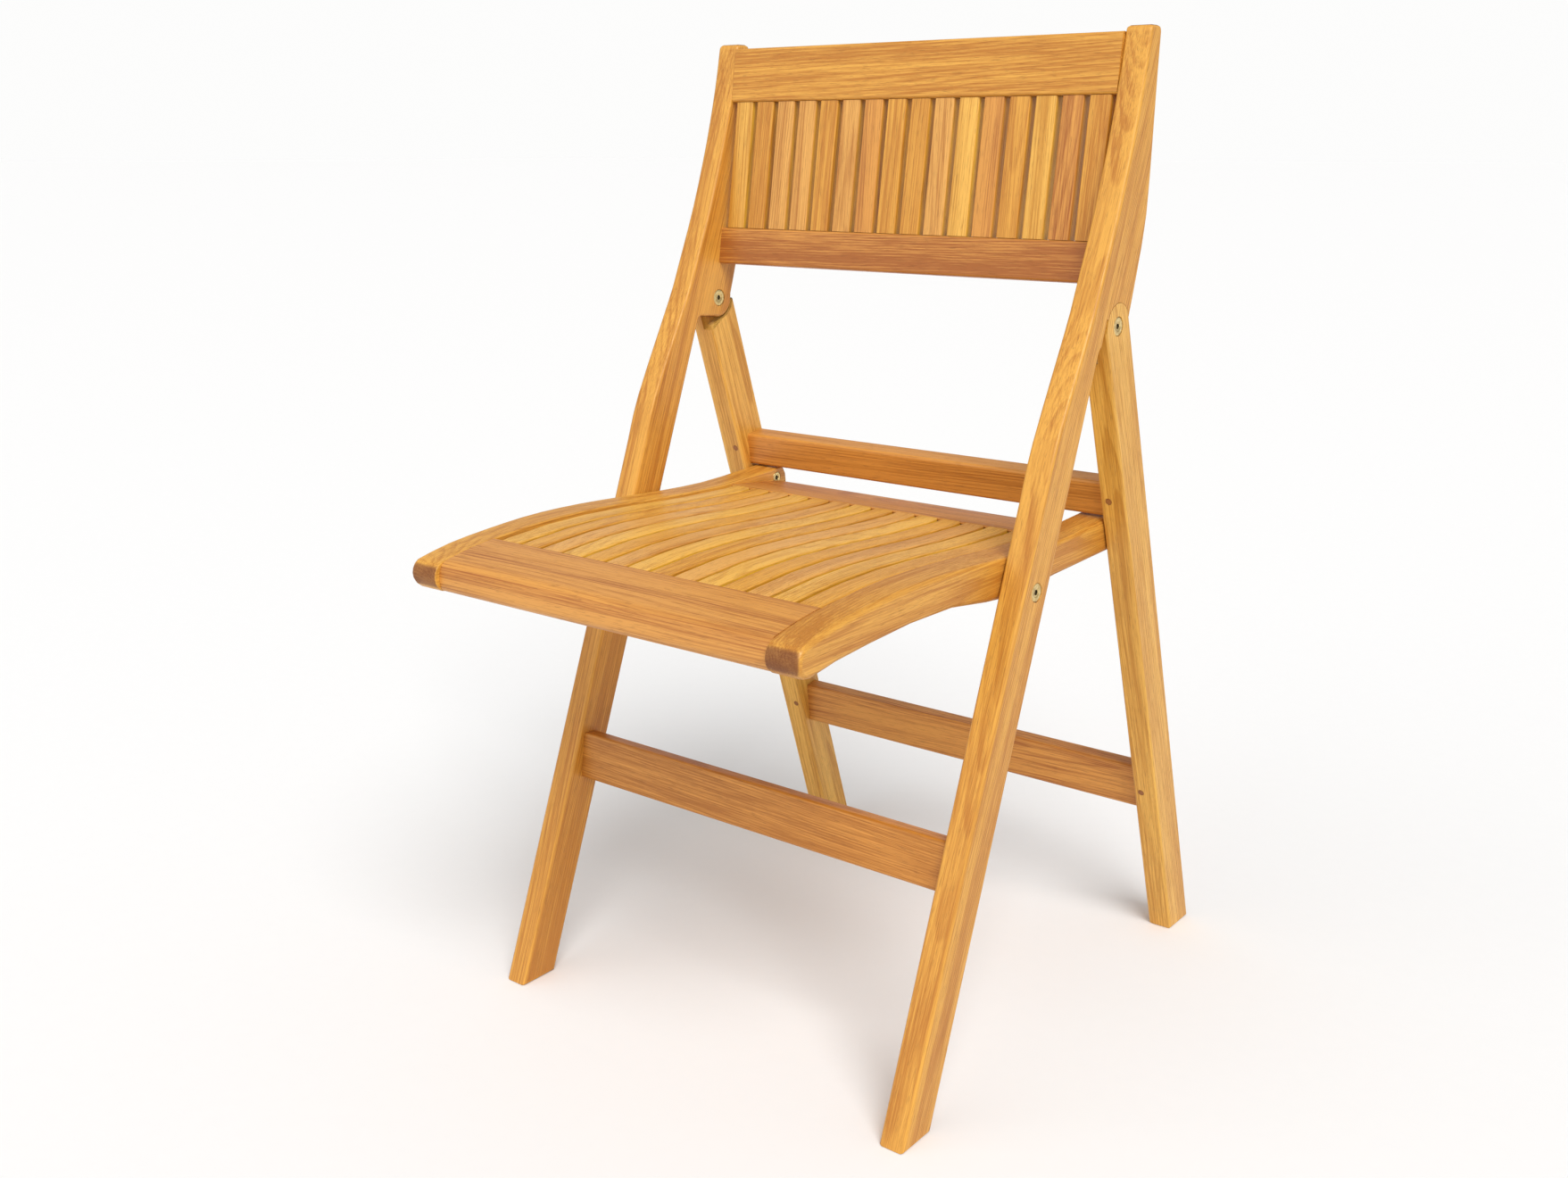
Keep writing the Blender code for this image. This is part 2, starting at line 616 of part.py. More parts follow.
def boolean(obj, tool, operation="DIFFERENCE"):
    modifier = obj.modifiers.new(tool.name, "BOOLEAN")
    modifier.operation = operation
    modifier.solver = "EXACT"
    modifier.object = tool


def side_name(side):
    return "left" if side < 0 else "right"


# ---------------------------------------------------------------- pieces

def board(name, outline, x, width, material, axis=None, arris=0.0, segments=2):
    """A board cut to a side outline, with rounded arrises."""
    origin = (axis.location.y, axis.location.z) if axis else (0.0, 0.0)
    mesh = outline_mesh(name, outline, width, origin)
    if arris:
        round_edges(mesh, arris, segments, around_outline)
    return new_object(name, mesh, material, axis, x)


def cross_rail(name, outline, span, material, axis=None, arris=0.0, segments=2):
    """A rail along X with rounded long edges and square shoulders."""
    origin = (axis.location.y, axis.location.z) if axis else (0.0, 0.0)
    mesh = outline_mesh(name, outline, span - 2 * FIT, origin)
    if arris:
        round_edges(mesh, arris, segments, along_x)
    return new_object(name, mesh, material, axis)


def add_tenons(rail, hosts, span, centre, size, tilt, axis=None):
    """A tenon at each end of a rail, and its mortise in the board that it enters."""
    for side, host in zip((-1, 1), hosts):
        label = f"{rail.name}_{side_name(side)}"
        reach = TENON_LENGTH + JOINT_OVERLAP
        x = side * (span / 2 + (TENON_LENGTH - JOINT_OVERLAP) / 2)
        tenon = tool_box(f"tenon_{label}", (x, *centre), (reach, *size), tilt, axis)
        boolean(rail, tenon, "UNION")
        wide = (reach + 2 * FIT, size[0] + 2 * FIT, size[1] + 2 * FIT)
        mortise = tool_box(f"mortise_{label}", (x, *centre), wide, tilt, axis)
        boolean(host, mortise)


def tenon_size(depth, height):
    return (depth - 2 * TENON_SHOULDER, height - 2 * TENON_SHOULDER)


def stiles():
    """Both bent stiles, with the outer half cut back for the legs' knuckle discs."""
    pair = []
    for side in (-1, 1):
        stile = board(f"stile_{side_name(side)}", stile_outline(), side * STILE_X, STILE_THICKNESS,
                      HONEY, None, STILE_ARRIS)
        lap = STILE_THICKNESS / 2 + FIT / 2
        width = lap + 2 * OVERCUT
        x = side * (OVERALL_WIDTH / 2 - lap + width / 2)
        disc = tool_cylinder(f"lap_disc_{side_name(side)}", (x, *KNUCKLE),
                             KNUCKLE_RADIUS + LAP_PLAY, width, FINE_STEPS)
        boolean(stile, disc)
        # The rest of the outer half of the ear, behind the straight rear edge
        depth = LEG_WIDTH + 2 * OVERCUT
        drop = LEG_WIDTH * 1.5
        back = depth / 2 - KNUCKLE_SETBACK + FIT
        middle = (KNUCKLE_Y + back * STILE_BACK[0] + drop / 2 * STILE_DOWN[0],
                  KNUCKLE_HEIGHT + back * STILE_BACK[1] + drop / 2 * STILE_DOWN[1])
        ear = tool_box(f"lap_ear_{side_name(side)}", (x, *middle), (width, depth, drop), STILE_LEAN)
        boolean(stile, ear)
        pair.append(stile)
    return pair


def stile_front(z):
    """Front edge of the stile's bent part, at a height."""
    edge = [(KNUCKLE_HEIGHT + share * BACK_RISE, KNUCKLE_Y + back) for share, back in BEND_FRONT]
    return height_at(smooth(edge, 3), z)


def back_panel(pair):
    """Top rail, lower rail and the row of upright slats between them."""
    lower_middle_z = KNUCKLE_HEIGHT + LOWER_RAIL_RISE
    lower_face = stile_front(lower_middle_z) + PANEL_SETBACK
    lower_middle = (lower_face + BACK_RAIL_DEPTH / 2, lower_middle_z)
    top_middle_z = STILE_TOP - TOP_RAIL_DROP - TOP_RAIL_HEIGHT / 2
    top_middle = (lower_middle[0] + (top_middle_z - lower_middle_z) * math.tan(PANEL_LEAN), top_middle_z)
    rails = (("back_top_rail", top_middle, TOP_RAIL_HEIGHT, HONEY, -1),
             ("back_lower_rail", lower_middle, LOWER_RAIL_HEIGHT, AMBER, 1))
    ends = []
    for name, middle, height, material, groove_side in rails:
        outline = tilted_rectangle(middle, BACK_RAIL_DEPTH, height, PANEL_LEAN)
        rail = cross_rail(name, outline, BACK_SPAN, material, None, BACK_RAIL_ARRIS)
        add_tenons(rail, pair, BACK_SPAN, middle, tenon_size(BACK_RAIL_DEPTH, height), PANEL_LEAN)
        edge = turn((middle[0], middle[1] + groove_side * height / 2), middle, PANEL_LEAN)
        ends.append(edge)
        groove = tool_box(f"groove_{name}", (0.0, *edge),
                          (BACK_SPAN - BACK_SLAT_GAP, TONGUE_THICKNESS + 2 * FIT, 2 * (TONGUE_LENGTH + FIT)),
                          PANEL_LEAN)
        boolean(rail, groove)
    high, low = ends
    middle = ((high[0] + low[0]) / 2, (high[1] + low[1]) / 2)
    length = math.hypot(high[0] - low[0], high[1] - low[1])
    slat_width = (BACK_SPAN - (BACK_SLAT_COUNT + 1) * BACK_SLAT_GAP) / BACK_SLAT_COUNT
    tones = (PALE, HONEY, PINKISH, PINKISH, HONEY, PINKISH, AMBER, HONEY,
             HONEY, PINKISH, PALE, AMBER, HONEY, PALE, AMBER, HONEY)
    for i in range(BACK_SLAT_COUNT):
        x = -BACK_SPAN / 2 + BACK_SLAT_GAP + slat_width / 2 + i * (slat_width + BACK_SLAT_GAP)
        back_slat(f"back_slat_{i + 1:02d}", middle, length, x, slat_width, tones[i % len(tones)])


def back_slat(name, middle, length, x, width, material):
    """A flat slat with a tongue at each end."""
    half = length / 2 - FIT
    body = BACK_SLAT_DEPTH / 2
    tongue = TONGUE_THICKNESS / 2
    tip = half + TONGUE_LENGTH
    right_side = [(body, -half), (body, half), (tongue, half), (tongue, tip)]
    left_side = [(-tongue, tip), (-tongue, half), (-body, half), (-body, -half)]
    low_tongue = [(-tongue, -half), (-tongue, -tip), (tongue, -tip), (tongue, -half)]
    outline = []
    for dy, dz in right_side + left_side + low_tongue:
        outline.append(turn((middle[0] + dy, middle[1] + dz), middle, PANEL_LEAN))
    mesh = outline_mesh(name, outline, width)
    across = Vector((0.0, math.sin(PANEL_LEAN), math.cos(PANEL_LEAN)))

    def long_edge(edge):
        direction = edge.verts[1].co - edge.verts[0].co
        return abs(direction.normalized().dot(across)) > 0.99 and direction.length > TONGUE_LENGTH * 2

    round_edges(mesh, SLAT_ARRIS, 1, long_edge)
    return new_object(name, mesh, material, None, x)


def front_lower_rail(pair):
    """The rail between the front feet, set more upright than the stiles."""
    centre_line = stile_rear(FRONT_RAIL_LEVEL) - STILE_WIDTH / 2 / math.cos(STILE_LEAN)
    middle = (centre_line, FRONT_RAIL_LEVEL)
    outline = tilted_rectangle(middle, FRONT_RAIL_DEPTH, FRONT_RAIL_HEIGHT, STRETCHER_TILT)
    rail = cross_rail("front_lower_rail", outline, BACK_SPAN, RUSSET, None, RAIL_ARRIS)
    size = tenon_size(FRONT_RAIL_DEPTH, FRONT_RAIL_HEIGHT)
    add_tenons(rail, pair, BACK_SPAN, middle, size, STRETCHER_TILT)


def rear_legs(axis):
    """Both rear legs: half-lapped knuckle disc, pin groove and a level foot."""
    pair = []
    for side in (-1, 1):
        name = f"rear_leg_{side_name(side)}"
        mesh = outline_mesh(name, leg_outline(), LEG_THICKNESS, KNUCKLE)
        round_edges(mesh, LEG_ARRIS, 2, lambda edge: around_outline(edge) and not on_disc(edge))
        leg = new_object(name, mesh, PALE, axis, side * LEG_X)
        inner = OVERALL_WIDTH / 2 - LEG_THICKNESS
        lap = LEG_THICKNESS - STILE_THICKNESS / 2 + FIT / 2
        width = lap + 2 * OVERCUT
        x = side * (inner + lap - width / 2)
        shoulder = tool_cylinder(f"shoulder_{side_name(side)}", (x, *KNUCKLE),
                                 KNUCKLE_RADIUS + SHOULDER_PLAY, width, FINE_STEPS, axis)
        boolean(leg, shoulder)
        # Ahead of the disc the shoulder is straight and falls like the ear's lower edge
        edge_mesh = outline_mesh(f"shoulder_edge_{side_name(side)}", shoulder_edge_outline(), width, KNUCKLE)
        edge = bpy.data.objects.new(edge_mesh.name, edge_mesh)
        edge.parent = axis
        edge.location.x = x
        as_cutter(edge)
        boolean(leg, edge)
        groove_mesh = outline_mesh(f"pin_groove_{side_name(side)}", pin_groove_outline(),
                                   GROOVE_DEPTH * 2, KNUCKLE)
        groove = bpy.data.objects.new(groove_mesh.name, groove_mesh)
        groove.parent = axis
        groove.location.x = side * inner
        as_cutter(groove)
        boolean(leg, groove)
        pair.append(leg)
    return pair


def stretcher(name, level, y, depth, height, material, pair, axis):
    """A rail between the rear legs, locked by a dowel through each leg's front face."""
    middle = (y, level)
    outline = tilted_rectangle(middle, depth, height, -STRETCHER_TILT)
    rail = cross_rail(name, outline, LEG_SPAN, material, axis, RAIL_ARRIS)
    size = tenon_size(depth, height)
    add_tenons(rail, pair, LEG_SPAN, middle, size, -STRETCHER_TILT, axis)
    face = leg_centre(level) - LEG_WIDTH / 2 / math.cos(LEG_LEAN)
    for side, leg in zip((-1, 1), pair):
        x = side * (LEG_SPAN / 2 + TENON_LENGTH / 2)
        mouth = (face, level)
        inside = DOWEL_LENGTH / 2
        middle_pin = (mouth[0] + inside * LEG_BACK[0], mouth[1] + inside * LEG_BACK[1])
        label = f"{name}_dowel_{side_name(side)}"
        hole = dowel_bar(f"hole_{label}", (x, *middle_pin), DOWEL_RADIUS + FIT, DOWEL_LENGTH + 2 * FIT, axis)
        as_cutter(hole)
        boolean(leg, hole)
        boolean(rail, hole)
        dowel = dowel_bar(label, (x, *middle_pin), DOWEL_RADIUS, DOWEL_LENGTH, axis)
        dowel.data.materials.append(AMBER)
    return rail


def dowel_bar(name, centre, radius, length, axis):
    """A round bar square to the legs' front face."""
    bpy.ops.mesh.primitive_cylinder_add(vertices=16, radius=radius, depth=length)
    obj = bpy.context.object
    obj.name = name
    obj.data.name = name
    obj.rotation_euler.x = LEG_LEAN - math.pi / 2
    place(obj, centre, axis)
    return into(PARTS, obj)


def seat_frame(axis):
    """Side rails, front rail and rear rail."""
    sides = []
    for side in (-1, 1):
        name = f"seat_side_rail_{side_name(side)}"
        mesh = outline_mesh(name, side_rail_outline(), SIDE_RAIL_THICKNESS, SEAT_PIVOT)
        round_edges(mesh, SIDE_RAIL_ARRIS, 2,
                    lambda edge: around_outline(edge) and edge.verts[0].co.x * side > 0.0)
        round_edges(mesh, SIDE_RAIL_INNER_ARRIS, 1,
                    lambda edge: around_outline(edge) and edge.verts[0].co.x * side < 0.0)
        sides.append(new_object(name, mesh, HONEY, axis, side * SIDE_RAIL_X))
    front = cross_rail("seat_front_rail", seat_front_rail_outline(), SEAT_SPAN, AMBER, axis)
    front_y = SEAT_NOSE_Y + SEAT_FRONT_RAIL_SETBACK + SEAT_TENON_FRONT[0]
    front_z = height_at(SEAT_TOP, front_y) - SEAT_FRONT_RAIL_THICKNESS / 2
    add_tenons(front, sides, SEAT_SPAN, (front_y, front_z), SEAT_TENON_FRONT, 0.0, axis)
    rear = cross_rail("seat_rear_rail", seat_rear_rail_outline(), SEAT_SPAN, AMBER, axis,
                      SEAT_REAR_RAIL_ARRIS, 1)
    rear_y = REAR_RAIL_FRONT + TONGUE_LENGTH + TENON_SHOULDER + SEAT_TENON_REAR[0] / 2
    rear_z = height_at(SEAT_TOP, REAR_RAIL_FRONT) - SEAT_SLAT_SINK - SEAT_REAR_RAIL_THICKNESS / 2
    add_tenons(rear, sides, SEAT_SPAN, (rear_y, rear_z), SEAT_TENON_REAR, 0.0, axis)
    return sides


def seat_slats(axis):
    """The row of bent slats between the front and rear rails."""
    slat_width = (SEAT_SPAN - (SEAT_SLAT_COUNT + 1) * SEAT_SLAT_GAP) / SEAT_SLAT_COUNT
    tones = (PALE, PINKISH, HONEY)
    outline = seat_slat_outline()
    for i in range(SEAT_SLAT_COUNT):
        x = -SEAT_SPAN / 2 + SEAT_SLAT_GAP + slat_width / 2 + i * (slat_width + SEAT_SLAT_GAP)
        board(f"seat_slat_{i + 1:02d}", outline, x, slat_width, tones[(i * 2) % 3], axis, SLAT_ARRIS, 1)


def turned(name, profile, material, centre, side, parent=None):
    """A round piece along X from an (r, x) profile whose outer end comes first."""
    mesh = bpy.data.meshes.new(name)
    bm = bmesh.new()
    verts = [bm.verts.new((radius, 0.0, along)) for radius, along in profile]
    for first, second in zip(verts, verts[1:]):
        bm.edges.new((first, second))
    if profile[0][0] > 0.0:
        bm.edges.new((verts[-1], verts[0]))
    bm.to_mesh(mesh)
    bm.free()
    obj = bpy.data.objects.new(name, mesh)
    mesh.materials.append(material)
    screw = obj.modifiers.new("turn", "SCREW")
    screw.axis = "Z"
    screw.steps = ROUND_STEPS
    screw.render_steps = ROUND_STEPS
    screw.use_merge_vertices = True
    screw.merge_threshold = 0.00005
    screw.use_normal_calculate = True
    screw.use_smooth_shade = True
    obj.rotation_euler.y = side * math.pi / 2
    PARTS.objects.link(obj)
    place(obj, centre, parent)
    return obj


def head_profile(radius):
    """A flat head with a broken rim, from its middle to its underside."""
    return [(0.0, 0.0), (radius - HEAD_RIM, 0.0), (radius, -HEAD_RIM), (radius, -BOLT_HEAD_THICKNESS)]


def hex_socket(obj, centre, parent):
    """The hexagonal recess in a head, at the head's outer face."""
    socket = tool_cylinder(f"socket_{obj.name}", centre, HEX_RADIUS, 2 * HEX_DEPTH, 6, parent)
    boolean(obj, socket)


def connector(name, point, side, outer_x, inner_x, hosts):
    """A sleeve bolt: outer bolt, inner sleeve nut, and the bores they need."""
    grip = outer_x - inner_x
    shank_end = (BOLT_HEAD_THICKNESS + grip) / 2
    bolt_profile = head_profile(BOLT_HEAD_RADIUS)
    bolt_profile += [(BOLT_SHANK_RADIUS, -BOLT_HEAD_THICKNESS), (BOLT_SHANK_RADIUS, -shank_end),
                     (0.0, -shank_end)]
    bolt = turned(f"{name}_bolt_{side_name(side)}", bolt_profile, BRASS, (side * outer_x, *point), side)
    hex_socket(bolt, (side * outer_x, *point), None)
    sleeve_end = grip - BOLT_HEAD_THICKNESS - FIT
    bore = BOLT_SHANK_RADIUS + FIT
    bore_end = BOLT_HEAD_THICKNESS + NUT_WEB
    nut_profile = head_profile(BOLT_HEAD_RADIUS)
    nut_profile += [(SLEEVE_RADIUS, -BOLT_HEAD_THICKNESS), (SLEEVE_RADIUS, -sleeve_end),
                    (bore, -sleeve_end), (bore, -bore_end), (0.0, -bore_end)]
    nut = turned(f"{name}_nut_{side_name(side)}", nut_profile, BRASS, (side * inner_x, *point), -side)
    hex_socket(nut, (side * inner_x, *point), None)
    middle = (side * (outer_x + inner_x) / 2, *point)
    shaft = tool_cylinder(f"bore_{name}_{side_name(side)}", middle, SLEEVE_RADIUS + FIT, grip + 2 * OVERCUT)
    for host in hosts:
        boolean(host, shaft)
    for host, x, outward, end in ((hosts[0], outer_x, 1, "outer"), (hosts[-1], inner_x, -1, "inner")):
        label = f"seat_{name}_{end}_{side_name(side)}"
        head_seat(host, label, (side * x, *point), side * outward, BOLT_HEAD_RADIUS)


def head_seat(host, name, face, outward, radius, parent=None):
    """The flat-bottomed recess for a head whose outer face is at a given place."""
    depth = BOLT_HEAD_THICKNESS + FIT
    x = face[0] + outward * (OVERCUT - depth) / 2
    seat = tool_cylinder(name, (x, face[1], face[2]), radius + FIT, depth + OVERCUT, 32, parent)
    boolean(host, seat)


def seat_pin(side, rail, axis):
    """A bolt through the side rail's rear end whose tip slides in the leg's groove."""
    inner = SEAT_WIDTH / 2 - SIDE_RAIL_THICKNESS
    tip = OVERALL_WIDTH / 2 - LEG_THICKNESS + GROOVE_DEPTH - GROOVE_PLAY - inner
    profile = head_profile(PIN_HEAD_RADIUS)
    profile += [(PIN_RADIUS, -BOLT_HEAD_THICKNESS), (PIN_RADIUS, -tip), (0.0, -tip)]
    centre = (side * inner, *SEAT_PIN)
    pin = turned(f"seat_pin_{side_name(side)}", profile, BRASS, centre, -side, axis)
    hex_socket(pin, centre, axis)
    bore = tool_cylinder(f"bore_pin_{side_name(side)}", (side * SIDE_RAIL_X, *SEAT_PIN),
                         PIN_RADIUS + FIT, SIDE_RAIL_THICKNESS + 2 * OVERCUT, 24, axis)
    boolean(rail, bore)
    head_seat(rail, f"seat_pin_head_{side_name(side)}", centre, -side, PIN_HEAD_RADIUS, axis)


def centre_chair():
    """Put the origin under the middle of the chair's depth."""
    foot_rear = leg_centre(0.0) + LEG_WIDTH / 2 / math.cos(LEG_LEAN)
    middle = (SEAT_NOSE_Y + foot_rear) / 2
    for obj in list(PARTS.objects) + list(CUTTERS.objects):
        if obj.parent is None:
            obj.location.y -= middle


def build():
    legs_axis = new_axis("rear_legs_axis", KNUCKLE)
    seat_axis = new_axis("seat_axis", SEAT_PIVOT)
    stile_pair = stiles()
    back_panel(stile_pair)
    front_lower_rail(stile_pair)
    leg_pair = rear_legs(legs_axis)
    low_y = leg_centre(LOW_STRETCHER_LEVEL) + LOW_STRETCHER_SETBACK
    stretcher("low_stretcher", LOW_STRETCHER_LEVEL, low_y, LOW_STRETCHER_DEPTH,
              LOW_STRETCHER_HEIGHT, AMBER, leg_pair, legs_axis)
    high_level = SEAT_TOP[-1][1] + HIGH_STRETCHER_PLAY + HIGH_STRETCHER_HEIGHT / 2
    high_rear = leg_centre(high_level) + LEG_WIDTH / 2 / math.cos(LEG_LEAN) - HIGH_STRETCHER_SETBACK
    stretcher("high_stretcher", high_level, high_rear - HIGH_STRETCHER_DEPTH / 2,
              HIGH_STRETCHER_DEPTH, HIGH_STRETCHER_HEIGHT, RUSSET, leg_pair, legs_axis)
    side_rails = seat_frame(seat_axis)
    seat_slats(seat_axis)
    for side, stile, leg, rail in zip((-1, 1), stile_pair, leg_pair, side_rails):
        outer = OVERALL_WIDTH / 2 - FIT
        connector("knuckle", KNUCKLE, side, outer, OVERALL_WIDTH / 2 - STILE_THICKNESS + FIT, (leg, stile))
        connector("seat_pivot", SEAT_PIVOT, side, outer,
                  SEAT_WIDTH / 2 - SIDE_RAIL_THICKNESS + FIT, (stile, rail))
        seat_pin(side, rail, seat_axis)
    centre_chair()


build()
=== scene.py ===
"""Finish for a slatted teak folding chair.

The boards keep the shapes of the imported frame. Each one becomes a piece of its own with soft arrises and
the coordinates of the log it was sawn from, so that growth rings, ribbons and pores run through it and
come out on the end grain. The connectors are modelled again with fine rims and hexagonal sockets.
"""

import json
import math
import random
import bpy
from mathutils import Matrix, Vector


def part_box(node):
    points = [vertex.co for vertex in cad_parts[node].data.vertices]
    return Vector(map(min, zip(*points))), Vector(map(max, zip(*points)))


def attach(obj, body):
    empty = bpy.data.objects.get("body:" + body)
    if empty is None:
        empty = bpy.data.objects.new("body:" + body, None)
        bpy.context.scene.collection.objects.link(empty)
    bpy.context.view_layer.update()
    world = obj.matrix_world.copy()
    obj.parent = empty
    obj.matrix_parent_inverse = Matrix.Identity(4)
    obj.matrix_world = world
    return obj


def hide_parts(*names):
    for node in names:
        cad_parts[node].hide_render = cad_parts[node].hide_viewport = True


bl_info = {
    "name": "Folding Chair Finish",
    "version": (1, 0, 0),
    "blender": (4, 5, 0),
    "location": "3D Viewport > Sidebar > Chair",
    "description": "Dresses a slatted folding chair in grained teak with plated connectors",
    "category": "Object",
}

import bmesh
import bpy
from bpy.props import FloatProperty, FloatVectorProperty, IntProperty, PointerProperty
from mathutils import Matrix, Vector

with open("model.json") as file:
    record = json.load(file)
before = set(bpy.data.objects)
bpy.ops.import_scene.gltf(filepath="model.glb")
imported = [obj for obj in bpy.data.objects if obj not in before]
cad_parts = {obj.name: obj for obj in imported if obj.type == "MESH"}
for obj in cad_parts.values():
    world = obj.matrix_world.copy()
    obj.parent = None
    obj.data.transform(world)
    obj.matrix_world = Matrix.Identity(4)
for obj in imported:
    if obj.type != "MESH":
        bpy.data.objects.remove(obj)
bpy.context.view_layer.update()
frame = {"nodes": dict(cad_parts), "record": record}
NODES = frame["nodes"]
SLOT_OF = {part["node"]: part["material_slot"] for part in frame["record"]["subparts"]}
BODY_OF = {}
for body_name, members in frame["record"]["behaviour"]["bodies"].items():
    for member in members:
        BODY_OF[member] = body_name

# How dark a board is within its own material: 0 is light, 1 is dark, and more is darker still
OWN_TONE = {"back_lower_rail": 1.30, "seat_side_rail_right": 1.15, "seat_side_rail_left": 0.45,
            "seat_front_rail": 0.32, "low_stretcher": 0.30, "front_lower_rail": 1.00, "high_stretcher": 0.0,
            "back_top_rail": 0.58, "stile_right": 0.42, "stile_left": 0.66}
PLAIN_TONES = (0.22, 0.78)   # a board that is not listed gets a tone in this range
# The back's slats lie close to one tone, so a pale one is darkened and a dark one lightened
BACK_SLAT_TONE = {"teak_pale": 0.95, "teak_honey": 0.70, "teak_pinkish": 0.55, "teak_amber": 0.0}
BACK_SLAT_PULL = 0.7         # how far a back slat goes from its drawn tone to that one
SEAT_SLAT_LIFT = 0.34        # how much lighter the seat's slats are than the tone drawn for them
# How much darker a leg is at the floor than from FOOT_REACH up, on the same scale
FOOT_DARKENING = {"stile_left": 0.62, "stile_right": 0.55, "rear_leg_right": 0.50, "rear_leg_left": -0.05}
FOOT_REACH = 0.42            # height at which that darkening ends

# How the boards lean from upright towards the chair's rear
STILE_LEAN = math.radians(20.4)
BACK_LEAN = math.radians(8.0)
REAR_LEG_LEAN = math.radians(-18.6)
STRETCHER_LEAN = math.radians(-8.0)

# Cleaning up and shading the boards
MERGE = 0.000005             # corners closer than this are one corner
FLAT_TURN = math.radians(0.2)            # faces that turn by less are one face
SMOOTH_LIMIT = math.radians(50.0)
FLATTENING = 90              # how strongly broad faces pull the shading normals
NARROW = 0.0030              # a face narrower than this belongs to an arris
ARRIS_EDGE = 0.35            # arris mask where an arris runs into a broad face
SIDEWAYS = 0.9               # a slat's face that looks this far along X is its side, and gets painted gap shade
JOINT_REACH = 0.0010         # a shoulder closer than this to its host is brought up to it
JOINT_GAP = 0.00004          # what is left between them
HIDDEN_END = 0.0             # end grain mask of a rail, whose ends are inside its joints
DOWEL_END = 0.78             # end grain mask of a dowel

# Where a board lay in its log
LOG_SLOPE = (0.4, 1.5)       # degrees between the board and the log's axis
LOG_SKEW = 1.2               # degrees to either side
FLAT_SAWN = (-35.0, 35.0)    # turn about the board's length, in degrees
QUARTER_SAWN = (55.0, 125.0)
PITH_DISTANCE = (0.030, 0.090)
LOG_SHIFT = 20.0             # along the log, so that no two boards share their noise

# Grain: waves per metre along and across the log, octaves and roughness of each noise
RIBBON_NOISE = (1.6, 95.0, 2.0, 0.5)
FIBRE_NOISE = (7.0, 900.0, 3.0, 0.6)
PORE_NOISE = (75.0, 2300.0, 1.0, 0.5)
MOTTLE_NOISE = (3.5, 42.0, 3.0, 0.6)
WAVER_NOISE = (2.0, 13.0, 2.0, 0.5)
SPREAD = (0.30, 0.70)        # the part of a noise's range that carries its contrast
WAVER_DEPTH = 0.022          # how far the growth rings stray
RING_DARKENS = (0.30, 0.86)  # shares of a ring's width
RING_ENDS = (0.88, 1.0)
RING_FADES = (0.30, 0.62)    # mottle over which late wood comes up from faint to full
RING_FAINT = 0.35
PORE_EDGE = (0.60, 0.70)
PORE_COLOUR = (0.16, 0.055, 0.012, 1.0)
MOTTLE_SPREAD = (0.25, 0.75)
MOTTLE_DEPTH = 0.14
TONE_DEPTH = 0.55            # what a whole step of tone adds to the share of the dark colour
# Painted highlight: how far the arrises are lightened towards the early wood's colour
ARRIS_LIGHTENS = 0.35
END_GRAIN = (0.62, 0.86)     # cosine between a face's normal and the grain, from side to end grain
FIBRE_ROUGHNESS = 0.06       # what each adds to the oil's roughness, or takes from it
PORE_DULLS = 0.16
END_DULLS = 0.18
ARRIS_SHINES = 0.06
FIBRE_RISE = 0.35            # shares of the pores' depth
PORE_SINK = 0.65
LATE_RISE = 0.12
TEAK_BUMP = 0.55
TEAK_SPECULAR = 0.42
TEAK_COAT = 0.12
TEAK_COAT_ROUGHNESS = 0.34

# Plated steel
PATCH_SCALE = 420.0
GRIT_SCALE = 3200.0
DULL_EDGE = (0.35, 0.70)
DULL_TINT = (0.72, 0.68, 0.60, 1.0)
# Painted shade inside the hexagonal sockets
SOCKET_SHADE_COLOUR = (0.095, 0.072, 0.038, 1.0)
PATCH_DULLS = 0.14
GRIT_ROUGHNESS = 0.04
PLATING_BUMP = 0.25
GRIT_DEPTH = 0.00003

# Connectors
BOLT_SHANK_RADIUS = 0.0032
SLEEVE_RADIUS = 0.0045
SLEEVE_BORE_RADIUS = 0.0035
PIN_RADIUS = 0.0030
SLEEVE_WEB = 0.0020          # metal between a sleeve nut's head and its bore
SHANK_CHAMFER = 0.0004
HEX_SIDES = 6
SOCKET_LEVEL = -0.00045      # a socket's rim, below the head's face
SOCKET_TAPER = 0.96          # its floor over its rim
DISH_LEVEL = -0.00030        # the dish round the socket
DISH_SHARE = 0.52            # the dish's radius over the head's
# From the dish's edge to the head's face, as shares of the dish's radius and levels
DISH_ROUND = ((1.06, -0.00008), (1.14, 0.0))
# From the head's face to its side, as steps in from the head's radius and levels
RIM_ROUND = ((0.0009, 0.0), (0.0004, -0.00012), (0.0001, -0.00042), (0.0, -0.0008))
HEAD_SMOOTH_LIMIT = math.radians(38.0)

# Studio
LIGHT_COLOUR = (1.0, 0.995, 0.98)
ROOM_COLOUR = (1.0, 0.998, 0.992, 1.0)
LIGHT_DISTANCE = 4.0         # only for show, as the lights are suns
FLOOR_DROP = 0.0004          # the floor's top below the feet
PAPER_SCALE = 60.0
PAPER_SHADE = 0.985          # the paper's darker fibres over its lighter ones
PAPER_ROUGHNESS = 0.85
PAPER_SPECULAR = 0.15
SENSOR_WIDTH = 36.0


# ------------------------------------------------------------------ settings

